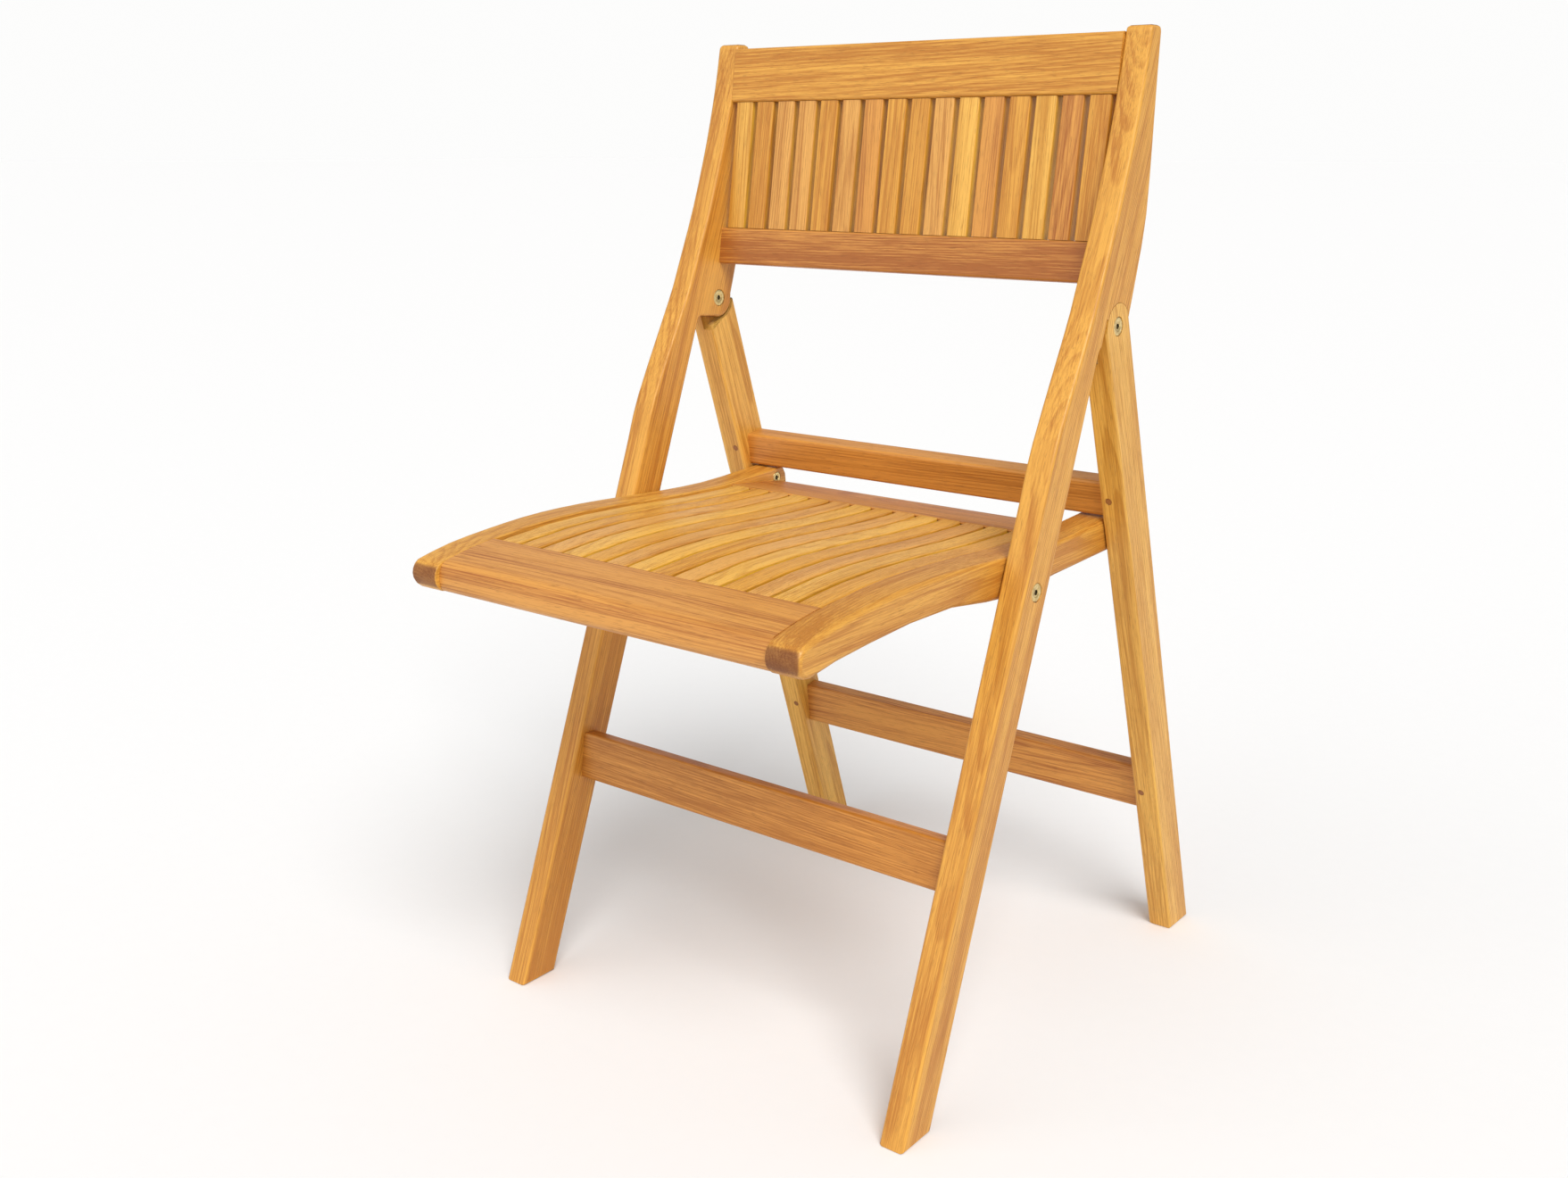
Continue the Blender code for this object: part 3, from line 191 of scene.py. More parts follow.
class ChairTeakSettings(bpy.types.PropertyGroup):
    """Colours and grain of the boards"""
    honey_light: FloatVectorProperty(name="Honey, early wood", subtype="COLOR", size=3, min=0.0, max=1.0,
                                     description="Light tone of the honey boards",
                                     default=(0.740, 0.368, 0.056))
    honey_dark: FloatVectorProperty(name="Honey, late wood", subtype="COLOR", size=3, min=0.0, max=1.0,
                                    description="Dark tone of the honey boards",
                                    default=(0.480, 0.180, 0.018))
    pale_light: FloatVectorProperty(name="Pale, early wood", subtype="COLOR", size=3, min=0.0, max=1.0,
                                    description="Light tone of the pale boards",
                                    default=(0.820, 0.458, 0.086))
    pale_dark: FloatVectorProperty(name="Pale, late wood", subtype="COLOR", size=3, min=0.0, max=1.0,
                                   description="Dark tone of the pale boards",
                                   default=(0.540, 0.235, 0.026))
    amber_light: FloatVectorProperty(name="Amber, early wood", subtype="COLOR", size=3, min=0.0, max=1.0,
                                     description="Light tone of the amber boards",
                                     default=(0.670, 0.300, 0.058))
    amber_dark: FloatVectorProperty(name="Amber, late wood", subtype="COLOR", size=3, min=0.0, max=1.0,
                                    description="Dark tone of the amber boards",
                                    default=(0.360, 0.112, 0.016))
    russet_light: FloatVectorProperty(name="Russet, early wood", subtype="COLOR", size=3, min=0.0, max=1.0,
                                      description="Light tone of the russet rails",
                                      default=(0.660, 0.285, 0.048))
    russet_dark: FloatVectorProperty(name="Russet, late wood", subtype="COLOR", size=3, min=0.0, max=1.0,
                                     description="Dark tone of the russet rails",
                                     default=(0.400, 0.140, 0.014))
    pinkish_light: FloatVectorProperty(name="Pinkish, early wood", subtype="COLOR", size=3, min=0.0, max=1.0,
                                       description="Light tone of the pinkish slats",
                                       default=(0.740, 0.380, 0.090))
    pinkish_dark: FloatVectorProperty(name="Pinkish, late wood", subtype="COLOR", size=3, min=0.0, max=1.0,
                                      description="Dark tone of the pinkish slats",
                                      default=(0.460, 0.180, 0.030))
    # Painted shade: multiplies the colour of the slats' side faces, which stand deep in the narrow gaps
    # between slats
    slat_gap_shade: FloatVectorProperty(name="Slat gap shade", subtype="COLOR", size=3, min=0.0, max=1.0,
                                   description="What the colour of the slats' sides is multiplied by",
                                   default=(0.92, 0.98, 0.42))
    end_tint: FloatVectorProperty(name="End grain", subtype="COLOR", size=3, min=0.0, max=1.0,
                                  description="What the end grain's colour is multiplied by",
                                  default=(0.42, 0.33, 0.40))
    ring_spacing: FloatProperty(name="Ring spacing", subtype="DISTANCE", unit="LENGTH", min=0.0005, max=0.02,
                                description="Distance between two growth rings in the log", default=0.0026)
    ring_strength: FloatProperty(name="Ring strength", subtype="FACTOR", min=0.0, max=1.0,
                                 description="How far late wood darkens each ring", default=0.46)
    ribbon_strength: FloatProperty(name="Ribbon strength", subtype="FACTOR", min=0.0, max=1.0,
                                   description="Contrast of the broad stripes along a board", default=0.60)
    fibre_strength: FloatProperty(name="Fibre strength", subtype="FACTOR", min=0.0, max=1.0,
                                  description="Contrast of the fine fibres", default=0.80)
    pore_strength: FloatProperty(name="Pore strength", subtype="FACTOR", min=0.0, max=1.0,
                                 description="How dark the open pores are", default=0.42)
    pore_depth: FloatProperty(name="Pore depth", subtype="DISTANCE", unit="LENGTH", min=0.0, max=0.001,
                              description="Depth of the pores in the oiled surface", default=0.00012)
    sheen_roughness: FloatProperty(name="Oil roughness", subtype="FACTOR", min=0.0, max=1.0,
                                   description="Roughness of the oiled surface", default=0.44)


class ChairHardwareSettings(bpy.types.PropertyGroup):
    """Sizes and colour of the connectors"""
    head_radius: FloatProperty(name="Connector head radius", subtype="DISTANCE", unit="LENGTH",
                               description="Radius of the sleeve bolts' and nuts' heads",
                               min=0.004, max=0.012, default=0.0080)
    pin_head_radius: FloatProperty(name="Seat pin head radius", subtype="DISTANCE", unit="LENGTH",
                                   description="Radius of the seat pins' heads",
                                   min=0.003, max=0.010, default=0.0060)
    head_thickness: FloatProperty(name="Head thickness", subtype="DISTANCE", unit="LENGTH",
                                  description="Thickness of every head", min=0.001, max=0.005,
                                  default=0.0025)
    socket_radius: FloatProperty(name="Socket radius", subtype="DISTANCE", unit="LENGTH",
                                 description="Middle of a hexagonal socket to its corner",
                                 min=0.001, max=0.004, default=0.0026)
    socket_depth: FloatProperty(name="Socket depth", subtype="DISTANCE", unit="LENGTH",
                                description="Depth of a hexagonal socket", min=0.0005, max=0.002,
                                default=0.0015)
    plating: FloatVectorProperty(name="Plating", subtype="COLOR", size=3, min=0.0, max=1.0,
                                 description="Colour of the plated steel", default=(0.80, 0.60, 0.27))
    plating_roughness: FloatProperty(name="Plating roughness", subtype="FACTOR", min=0.0, max=1.0,
                                     description="Roughness of the plated steel", default=0.24)
    segments: IntProperty(name="Head segments", min=12, max=96, default=48,
                          description="Sides of a turned head, six times a whole number")


class ChairStudioSettings(bpy.types.PropertyGroup):
    """Floor, lights and camera"""
    floor_colour: FloatVectorProperty(name="Floor", subtype="COLOR", size=3, min=0.0, max=1.0,
                                      description="Colour of the floor and backdrop",
                                      default=(0.89, 0.89, 0.895))
    floor_size: FloatProperty(name="Floor size", subtype="DISTANCE", unit="LENGTH", min=2.0, max=400.0,
                              description="Width and depth of the floor", default=200.0)
    key_strength: FloatProperty(name="Key light", min=0.0, max=20.0,
                                description="Strength of the large soft light", default=2.35)
    key_softness: FloatProperty(name="Key softness", subtype="ANGLE", unit="ROTATION",
                                description="Apparent size of the large soft light",
                                min=0.0, max=math.radians(120.0), default=math.radians(34.0))
    key_azimuth: FloatProperty(name="Key azimuth", subtype="ANGLE", unit="ROTATION",
                               description="Where the soft light stands, from the front to the right",
                               default=math.radians(52.0))
    key_elevation: FloatProperty(name="Key elevation", subtype="ANGLE", unit="ROTATION",
                                 description="How high the soft light stands", default=math.radians(46.0))
    fill_strength: FloatProperty(name="Fill light", min=0.0, max=20.0,
                                 description="Strength of the soft light from the front left",
                                 default=0.55)
    fill_softness: FloatProperty(name="Fill softness", subtype="ANGLE", unit="ROTATION",
                                 description="Apparent size of the light from the front left",
                                 min=0.0, max=math.radians(120.0), default=math.radians(60.0))
    fill_azimuth: FloatProperty(name="Fill azimuth", subtype="ANGLE", unit="ROTATION",
                                description="Where the second light stands, from the front to the right",
                                default=math.radians(-25.0))
    fill_elevation: FloatProperty(name="Fill elevation", subtype="ANGLE", unit="ROTATION",
                                  description="How high the second light stands",
                                  default=math.radians(28.0))
    room_strength: FloatProperty(name="Room light", min=0.0, max=4.0,
                                 description="Strength of the even light from all round", default=0.52)
    backdrop_strength: FloatProperty(name="Backdrop", min=0.0, max=4.0,
                                     description="Brightness of the backdrop behind the chair",
                                     default=0.980)
    camera_place: FloatVectorProperty(name="Camera place", subtype="XYZ", size=3, unit="LENGTH",
                                      description="Where the camera stands",
                                      default=(0.8444, -1.15177, 0.7744))
    camera_azimuth: FloatProperty(name="Camera azimuth", subtype="ANGLE", unit="ROTATION",
                                  description="Turn of the view about the vertical",
                                  default=math.radians(38.05))
    camera_tilt: FloatProperty(name="Camera tilt", subtype="ANGLE", unit="ROTATION",
                               description="How far the view looks down", default=math.radians(15.33))
    lens: FloatProperty(name="Lens", min=10.0, max=200.0,
                        description="Focal length in millimetres on a 36 mm sensor", default=36.98)


# ------------------------------------------------------------------ node helpers

def put(tree, kind, **values):
    """A node with its properties and unlinked inputs set by name or index."""
    node = tree.nodes.new(kind)
    for key, value in values.items():
        if key.startswith("in_"):
            slot = key[3:]
            socket = node.inputs[int(slot)] if slot.isdigit() else node.inputs[slot.replace("_", " ")]
            if isinstance(value, bpy.types.NodeSocket):
                tree.links.new(value, socket)
            else:
                socket.default_value = value
        else:
            setattr(node, key, value)
    return node


def math_node(tree, operation, a, b=0.0, clamp=False):
    return put(tree, "ShaderNodeMath", operation=operation, use_clamp=clamp, in_0=a, in_1=b).outputs[0]


def ramp_value(tree, value, span, low=0.0, high=1.0):
    """A smooth step from low to high over a span of the value."""
    node = put(tree, "ShaderNodeMapRange", interpolation_type="SMOOTHSTEP", in_Value=value,
               in_From_Min=span[0], in_From_Max=span[1], in_To_Min=low, in_To_Max=high)
    return node.outputs["Result"]


def mix_colour(tree, factor, first, second, blend="MIX"):
    node = tree.nodes.new("ShaderNodeMix")
    node.data_type = "RGBA"
    node.blend_type = blend
    for socket, value in ((node.inputs[0], factor), (node.inputs[6], first), (node.inputs[7], second)):
        if isinstance(value, bpy.types.NodeSocket):
            tree.links.new(value, socket)
        else:
            socket.default_value = value
    return node.outputs[2]


def stretched_noise(tree, place, noise):
    """Noise drawn out along the log."""
    along, across, detail, roughness = noise
    scaled = put(tree, "ShaderNodeVectorMath", operation="MULTIPLY", in_0=place,
                 in_1=(along, across, across))
    texture = put(tree, "ShaderNodeTexNoise", in_Vector=scaled.outputs[0], in_Scale=1.0, in_Detail=detail,
                  in_Roughness=roughness)
    return texture.outputs["Fac"]


def new_group(name, inputs, outputs):
    """A shader node group with named sockets, and its input and output nodes."""
    tree = bpy.data.node_groups.new(name, "ShaderNodeTree")
    for label, kind, default in inputs:
        socket = tree.interface.new_socket(name=label, in_out="INPUT", socket_type=kind)
        if default is not None:
            socket.default_value = default
    for label, kind in outputs:
        tree.interface.new_socket(name=label, in_out="OUTPUT", socket_type=kind)
    return tree, tree.nodes.new("NodeGroupInput"), tree.nodes.new("NodeGroupOutput")


def sawn_teak_group():
    """Growth rings, ribbons, fibres and pores at a place in the log, a painted highlight on arrises and
    painted shade on slat sides.
    """
    tree, given, result = new_group(
        "sawn_teak",
        [("Place", "NodeSocketVector", None), ("Light", "NodeSocketColor", None),
         ("Dark", "NodeSocketColor", None), ("End Tint", "NodeSocketColor", None),
         ("End", "NodeSocketFloat", 0.0), ("Arris", "NodeSocketFloat", 0.0),
         ("Tone", "NodeSocketFloat", 0.5), ("Side", "NodeSocketFloat", 0.0),
         ("Gap Shade Tint", "NodeSocketColor", None),
         ("Ring Spacing", "NodeSocketFloat", 0.004), ("Ring", "NodeSocketFloat", 0.4),
         ("Ribbon", "NodeSocketFloat", 0.5), ("Fibre", "NodeSocketFloat", 0.4),
         ("Pore", "NodeSocketFloat", 0.3), ("Oil Roughness", "NodeSocketFloat", 0.44)],
        [("Color", "NodeSocketColor"), ("Roughness", "NodeSocketFloat"), ("Height", "NodeSocketFloat")])
    place = given.outputs["Place"]
    ribbon = stretched_noise(tree, place, RIBBON_NOISE)
    fibre = stretched_noise(tree, place, FIBRE_NOISE)
    pore_noise = stretched_noise(tree, place, PORE_NOISE)
    mottle = stretched_noise(tree, place, MOTTLE_NOISE)
    waver = stretched_noise(tree, place, WAVER_NOISE)
    # Distance from the pith, bent by the log's wavering growth
    axes = put(tree, "ShaderNodeSeparateXYZ", in_0=place)
    y_square = math_node(tree, "MULTIPLY", axes.outputs["Y"], axes.outputs["Y"])
    z_square = math_node(tree, "MULTIPLY", axes.outputs["Z"], axes.outputs["Z"])
    radius = math_node(tree, "SQRT", math_node(tree, "ADD", y_square, z_square))
    bend = math_node(tree, "MULTIPLY", math_node(tree, "SUBTRACT", waver, 0.5), WAVER_DEPTH)
    count = math_node(tree, "DIVIDE", math_node(tree, "ADD", radius, bend), given.outputs["Ring Spacing"])
    share = math_node(tree, "FRACT", count)
    rise = ramp_value(tree, share, RING_DARKENS)
    fall = ramp_value(tree, share, RING_ENDS, 1.0, 0.0)
    late = math_node(tree, "MULTIPLY", rise, fall)
    late = math_node(tree, "MULTIPLY", late, ramp_value(tree, mottle, RING_FADES, RING_FAINT))
    pore = ramp_value(tree, pore_noise, PORE_EDGE)
    # Share of the dark tone
    dark = math_node(tree, "MULTIPLY", ramp_value(tree, ribbon, SPREAD), given.outputs["Ribbon"])
    dark = math_node(tree, "ADD", dark, math_node(tree, "MULTIPLY", late, given.outputs["Ring"]))
    fine = math_node(tree, "MULTIPLY", ramp_value(tree, fibre, SPREAD, -0.5, 0.5),
                     given.outputs["Fibre"])
    dark = math_node(tree, "ADD", dark, fine)
    dark = math_node(tree, "ADD", dark,
                     ramp_value(tree, mottle, MOTTLE_SPREAD, -MOTTLE_DEPTH, MOTTLE_DEPTH))
    tone = math_node(tree, "SUBTRACT", given.outputs["Tone"], 0.5)
    dark = math_node(tree, "ADD", dark, math_node(tree, "MULTIPLY", tone, TONE_DEPTH), True)
    colour = mix_colour(tree, dark, given.outputs["Light"], given.outputs["Dark"])
    pored = math_node(tree, "MULTIPLY", pore, given.outputs["Pore"])
    colour = mix_colour(tree, pored, colour, PORE_COLOUR)
    # Painted highlight along the arrises
    arris_highlight = math_node(tree, "MULTIPLY", given.outputs["Arris"], ARRIS_LIGHTENS)
    colour = mix_colour(tree, arris_highlight, colour, given.outputs["Light"])
    # Painted shade on the slats' side faces, deep in the gaps between slats
    gap_shaded = mix_colour(tree, 1.0, colour, given.outputs["Gap Shade Tint"], "MULTIPLY")
    colour = mix_colour(tree, given.outputs["Side"], colour, gap_shaded)
    tinted = mix_colour(tree, 1.0, colour, given.outputs["End Tint"], "MULTIPLY")
    colour = mix_colour(tree, given.outputs["End"], colour, tinted)
    tree.links.new(colour, result.inputs["Color"])
    # Pores and end grain are duller, and arrises a little shinier
    rough = math_node(tree, "ADD", given.outputs["Oil Roughness"],
                      ramp_value(tree, fibre, SPREAD, -FIBRE_ROUGHNESS, FIBRE_ROUGHNESS))
    rough = math_node(tree, "ADD", rough, math_node(tree, "MULTIPLY", pore, PORE_DULLS))
    rough = math_node(tree, "ADD", rough, math_node(tree, "MULTIPLY", given.outputs["End"], END_DULLS))
    shine = math_node(tree, "MULTIPLY", given.outputs["Arris"], ARRIS_SHINES)
    rough = math_node(tree, "SUBTRACT", rough, shine, True)
    tree.links.new(rough, result.inputs["Roughness"])
    # Fibres and late wood stand up, and pores are sunk
    height = math_node(tree, "MULTIPLY", fibre, FIBRE_RISE)
    height = math_node(tree, "SUBTRACT", height, math_node(tree, "MULTIPLY", pore, PORE_SINK))
    height = math_node(tree, "ADD", height, math_node(tree, "MULTIPLY", late, LATE_RISE))
    tree.links.new(height, result.inputs["Height"])
    return tree


def plated_wear_group():
    """Fine grit and dull patches on plated steel, and painted shade inside the sockets."""
    tree, given, result = new_group(
        "plated_wear",
        [("Place", "NodeSocketVector", None), ("Plating", "NodeSocketColor", None),
         ("Base Roughness", "NodeSocketFloat", 0.3), ("Grime", "NodeSocketFloat", 0.0)],
        [("Color", "NodeSocketColor"), ("Roughness", "NodeSocketFloat"), ("Height", "NodeSocketFloat")])
    patch = put(tree, "ShaderNodeTexNoise", in_Vector=given.outputs["Place"], in_Scale=PATCH_SCALE,
                in_Detail=3.0)
    grit = put(tree, "ShaderNodeTexNoise", in_Vector=given.outputs["Place"], in_Scale=GRIT_SCALE,
               in_Detail=2.0)
    dull = ramp_value(tree, patch.outputs["Fac"], DULL_EDGE)
    darker = mix_colour(tree, 1.0, given.outputs["Plating"], DULL_TINT, "MULTIPLY")
    colour = mix_colour(tree, dull, given.outputs["Plating"], darker)
    # Painted shade inside the sockets
    colour = mix_colour(tree, given.outputs["Grime"], colour, SOCKET_SHADE_COLOUR)
    tree.links.new(colour, result.inputs["Color"])
    rough = math_node(tree, "ADD", given.outputs["Base Roughness"],
                      math_node(tree, "MULTIPLY", dull, PATCH_DULLS))
    fine = ramp_value(tree, grit.outputs["Fac"], SPREAD, -GRIT_ROUGHNESS, GRIT_ROUGHNESS)
    rough = math_node(tree, "ADD", rough, fine, True)
    tree.links.new(rough, result.inputs["Roughness"])
    tree.links.new(grit.outputs["Fac"], result.inputs["Height"])
    return tree


def new_material(name):
    """A material with its node tree and its Principled shader."""
    material = bpy.data.materials.new(name)
    material.use_nodes = True
    tree = material.node_tree
    return material, tree, tree.nodes["Principled BSDF"]


def teak_material(name, group, light, dark, teak):
    """Oiled teak in one tone, read from the piece's own log coordinates."""
    material, tree, shader = new_material(name)
    # The side attribute marks where painted gap shade goes on the slats' sides
    place, axis, arris, tone, side = (put(tree, "ShaderNodeAttribute", attribute_name=label)
                                      for label in ("log_place", "log_axis", "arris", "tone", "side"))
    coordinates = put(tree, "ShaderNodeTexCoord")
    facing = put(tree, "ShaderNodeVectorMath", operation="DOT_PRODUCT",
                 in_0=coordinates.outputs["Normal"], in_1=axis.outputs["Vector"])
    end = ramp_value(tree, math_node(tree, "ABSOLUTE", facing.outputs["Value"]), END_GRAIN)
    grain = put(tree, "ShaderNodeGroup", node_tree=group, in_Place=place.outputs["Vector"], in_End=end,
                in_Arris=arris.outputs["Fac"], in_Tone=tone.outputs["Fac"], in_Side=side.outputs["Fac"])
    values = {"Light": (*light, 1.0), "Dark": (*dark, 1.0), "End Tint": (*teak.end_tint, 1.0),
              "Gap Shade Tint": (*teak.slat_gap_shade, 1.0),
              "Ring Spacing": teak.ring_spacing, "Ring": teak.ring_strength, "Ribbon": teak.ribbon_strength,
              "Fibre": teak.fibre_strength, "Pore": teak.pore_strength,
              "Oil Roughness": teak.sheen_roughness}
    for label, value in values.items():
        grain.inputs[label].default_value = value
    bump = put(tree, "ShaderNodeBump", in_Strength=TEAK_BUMP, in_Distance=teak.pore_depth,
               in_Height=grain.outputs["Height"])
    tree.links.new(grain.outputs["Color"], shader.inputs["Base Color"])
    tree.links.new(grain.outputs["Roughness"], shader.inputs["Roughness"])
    tree.links.new(bump.outputs["Normal"], shader.inputs["Normal"])
    shader.inputs["Specular IOR Level"].default_value = TEAK_SPECULAR
    shader.inputs["Coat Weight"].default_value = TEAK_COAT
    shader.inputs["Coat Roughness"].default_value = TEAK_COAT_ROUGHNESS


def plated_material(name, group, hardware):
    """Plated steel for the connectors, with painted shade inside their sockets."""
    material, tree, shader = new_material(name)
    place = put(tree, "ShaderNodeTexCoord")
    grime = put(tree, "ShaderNodeAttribute", attribute_name="grime")
    wear = put(tree, "ShaderNodeGroup", node_tree=group, in_Place=place.outputs["Object"],
               in_Grime=grime.outputs["Fac"])
    wear.inputs["Plating"].default_value = (*hardware.plating, 1.0)
    wear.inputs["Base Roughness"].default_value = hardware.plating_roughness
    bump = put(tree, "ShaderNodeBump", in_Strength=PLATING_BUMP, in_Distance=GRIT_DEPTH,
               in_Height=wear.outputs["Height"])
    tree.links.new(wear.outputs["Color"], shader.inputs["Base Color"])
    tree.links.new(wear.outputs["Roughness"], shader.inputs["Roughness"])
    tree.links.new(bump.outputs["Normal"], shader.inputs["Normal"])
    shader.inputs["Metallic"].default_value = 1.0


# ------------------------------------------------------------------ pieces

def place_piece(name, bm, node):
    """Turn a bmesh into the piece that stands for a CAD node."""
    mesh = bpy.data.meshes.new(name)
    bm.to_mesh(mesh)
    bm.free()
    piece = bpy.data.objects.new(name, mesh)
    bpy.context.scene.collection.objects.link(piece)
    mesh.materials.append(bpy.data.materials[SLOT_OF[node]])
    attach(piece, BODY_OF[node])
    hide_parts(node)
    return piece


def board_axes(lean, run):
    """Unit vectors along, across and through a board. Lean is from upright towards the chair's rear."""
    upright = Vector((0.0, math.sin(lean), math.cos(lean)))
    rearward = Vector((0.0, math.cos(lean), -math.sin(lean)))
    sideways = Vector((1.0, 0.0, 0.0))
    if run == "up":
        return upright, rearward, sideways
    if run == "slat":
        return upright, sideways, rearward
    if run == "level":
        return rearward, upright, sideways
    if run == "seat":
        return rearward, sideways, upright
    return sideways, upright, rearward


def log_matrix(name, centre, axes):
    """World place to place in the log: each board has its own pith distance, turn and slight slope."""
    dice = random.Random(name)
    along, across, through = axes
    rows = Matrix((along, across, through)).to_4x4()
    slope = math.radians(dice.uniform(*LOG_SLOPE)) * dice.choice((-1.0, 1.0))
    skew = math.radians(dice.uniform(-LOG_SKEW, LOG_SKEW))
    turn = math.radians(dice.choice((dice.uniform(*FLAT_SAWN), dice.uniform(*QUARTER_SAWN))))
    pith = dice.uniform(*PITH_DISTANCE)
    shift = Matrix.Translation((dice.uniform(-LOG_SHIFT, LOG_SHIFT), 0.0, pith))
    swing = Matrix.Rotation(turn, 4, "X")
    sloped = Matrix.Rotation(slope, 4, "Y") @ Matrix.Rotation(skew, 4, "Z")
    return shift @ sloped @ swing @ rows @ Matrix.Translation(-centre)


def face_width(face):
    """The width of a face as if it were a long strip."""
    return 2.0 * face.calc_area() / max(face.calc_perimeter(), 1e-9)


def close_joints(bm, host):
    """Bring a rail's shoulders up to the faces of the two boards that it joins."""
    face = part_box(host)[0].x
    for vert in bm.verts:
        if face - JOINT_REACH < abs(vert.co.x) < face:
            vert.co.x = math.copysign(face - JOINT_GAP, vert.co.x)


def board_tone(node):
    """How dark a board is between its material's light and dark colours."""
    tone = OWN_TONE.get(node, random.Random(node + "tone").uniform(*PLAIN_TONES))
    if node.startswith("back_slat_"):
        return tone + BACK_SLAT_PULL * (BACK_SLAT_TONE.get(SLOT_OF[node], tone) - tone)
    if node.startswith("seat_slat_"):
        return tone - SEAT_SLAT_LIFT
    return tone


def saw_board(node, axes, host=None, end=1.0):
    """A finished board from a node's outline, with its place in the log on every corner.

    Host is a board that a rail is joined to at each end. End is how far end grain shows at the board's ends.
    """
    bm = bmesh.new()
    bm.from_mesh(NODES[node].data)
    bmesh.ops.remove_doubles(bm, verts=bm.verts, dist=MERGE)
    bmesh.ops.dissolve_limit(bm, angle_limit=FLAT_TURN, verts=bm.verts, edges=bm.edges)
    if host:
        close_joints(bm, host)
        end = HIDDEN_END
    low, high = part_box(node)
    to_log = log_matrix(node, (low + high) / 2.0, axes)
    place_layer = bm.verts.layers.float_vector.new("log_place")
    axis_layer = bm.verts.layers.float_vector.new("log_axis")
    tone_layer = bm.verts.layers.float.new("tone")
    arris_layer = bm.loops.layers.float.new("arris")
    gap_shade_layer = bm.loops.layers.float.new("side")
    tone = board_tone(node)
    darkening = FOOT_DARKENING.get(node, 0.0)
    for vert in bm.verts:
        vert[place_layer] = to_log @ vert.co
        vert[axis_layer] = end * axes[0]
        low_down = max(0.0, 1.0 - vert.co.z / FOOT_REACH)
        vert[tone_layer] = tone + darkening * low_down
    # The arris mask carries a painted highlight in the colour and a lower roughness
    broad = {face for face in bm.faces if face_width(face) > NARROW}
    for face in bm.faces:
        face.smooth = True
        # Painted shade: a slat's side faces, in the narrow gaps, are marked for darkening
        if "_slat_" in node and abs(face.normal.x) > SIDEWAYS:
            for loop in face.loops:
                loop[gap_shade_layer] = 1.0
        if face in broad:
            continue
        for loop in face.loops:
            touches = any(other in broad for other in loop.vert.link_faces)
            loop[arris_layer] = ARRIS_EDGE if touches else 1.0
    piece = place_piece(f"{node}_board", bm, node)
    piece.data.set_sharp_from_angle(angle=SMOOTH_LIMIT)
    weighted = piece.modifiers.new("flat faces", "WEIGHTED_NORMAL")
    weighted.keep_sharp = True
    weighted.weight = FLATTENING


def ring_out(bm, edges, factor, drop):
    """Carry a closed loop of edges outwards or inwards and along the axis."""
    grown = bmesh.ops.extrude_edge_only(bm, edges=edges)["geom"]
    verts = [item for item in grown if isinstance(item, bmesh.types.BMVert)]
    bmesh.ops.scale(bm, vec=(factor, factor, 1.0), verts=verts)
    bmesh.ops.translate(bm, vec=(0.0, 0.0, drop), verts=verts)
    return [item for item in grown if isinstance(item, bmesh.types.BMEdge)
            and item.verts[0] in verts and item.verts[1] in verts]


def socket_head(hardware, radius, shank):
    """A flat head with a rounded rim, a dished middle and a hexagonal socket, then its shank.

    The head's face is at z = 0 and looks along +Z. Shank is a list of (radius, z) after the head.
    """
    bm = bmesh.new()
    bmesh.ops.create_circle(bm, segments=HEX_SIDES, radius=hardware.socket_radius)
    bmesh.ops.subdivide_edges(bm, edges=list(bm.edges), cuts=hardware.segments // HEX_SIDES - 1)
    bmesh.ops.translate(bm, vec=(0.0, 0.0, SOCKET_LEVEL), verts=bm.verts)
    socket_edge = list(bm.edges)
    dish = radius * DISH_SHARE
    circle = bmesh.ops.create_circle(bm, segments=hardware.segments, radius=dish)["verts"]
    bmesh.ops.translate(bm, vec=(0.0, 0.0, DISH_LEVEL), verts=circle)
    inner = set(socket_edge)
    circle_edges = [edge for edge in bm.edges if edge not in inner]
    bmesh.ops.bridge_loops(bm, edges=socket_edge + circle_edges)
    before = set(bm.faces)
    floor = ring_out(bm, socket_edge, SOCKET_TAPER, -SOCKET_LEVEL - hardware.socket_depth)
    bmesh.ops.contextual_create(bm, geom=floor)
    # Painted shade: the socket's walls and floor are marked to be darkened
    grime = bm.loops.layers.float.new("grime")
    for face in bm.faces:
        if face not in before:
            for loop in face.loops:
                loop[grime] = 1.0
    edges, at, level = circle_edges, dish, DISH_LEVEL
    rounds = [(dish * share, step) for share, step in DISH_ROUND]
    rounds += [(radius - inset, step) for inset, step in RIM_ROUND]
    rounds.append((radius, -hardware.head_thickness))
    for step_radius, step_level in rounds + shank:
        edges = ring_out(bm, edges, step_radius / at, step_level - level)
        at, level = step_radius, step_level
    bmesh.ops.contextual_create(bm, geom=edges)
    bmesh.ops.recalc_face_normals(bm, faces=bm.faces)
    return bm


def seat_head(bm, face, side):
    """Put a head at its place: face is the middle of its outer face, side the way it looks along X."""
    turn = Matrix.Rotation(side * math.pi / 2, 3, "Y")
    bmesh.ops.rotate(bm, cent=(0.0, 0.0, 0.0), matrix=turn, verts=bm.verts)
    bmesh.ops.translate(bm, vec=face, verts=bm.verts)
    for item in bm.faces:
        item.smooth = True


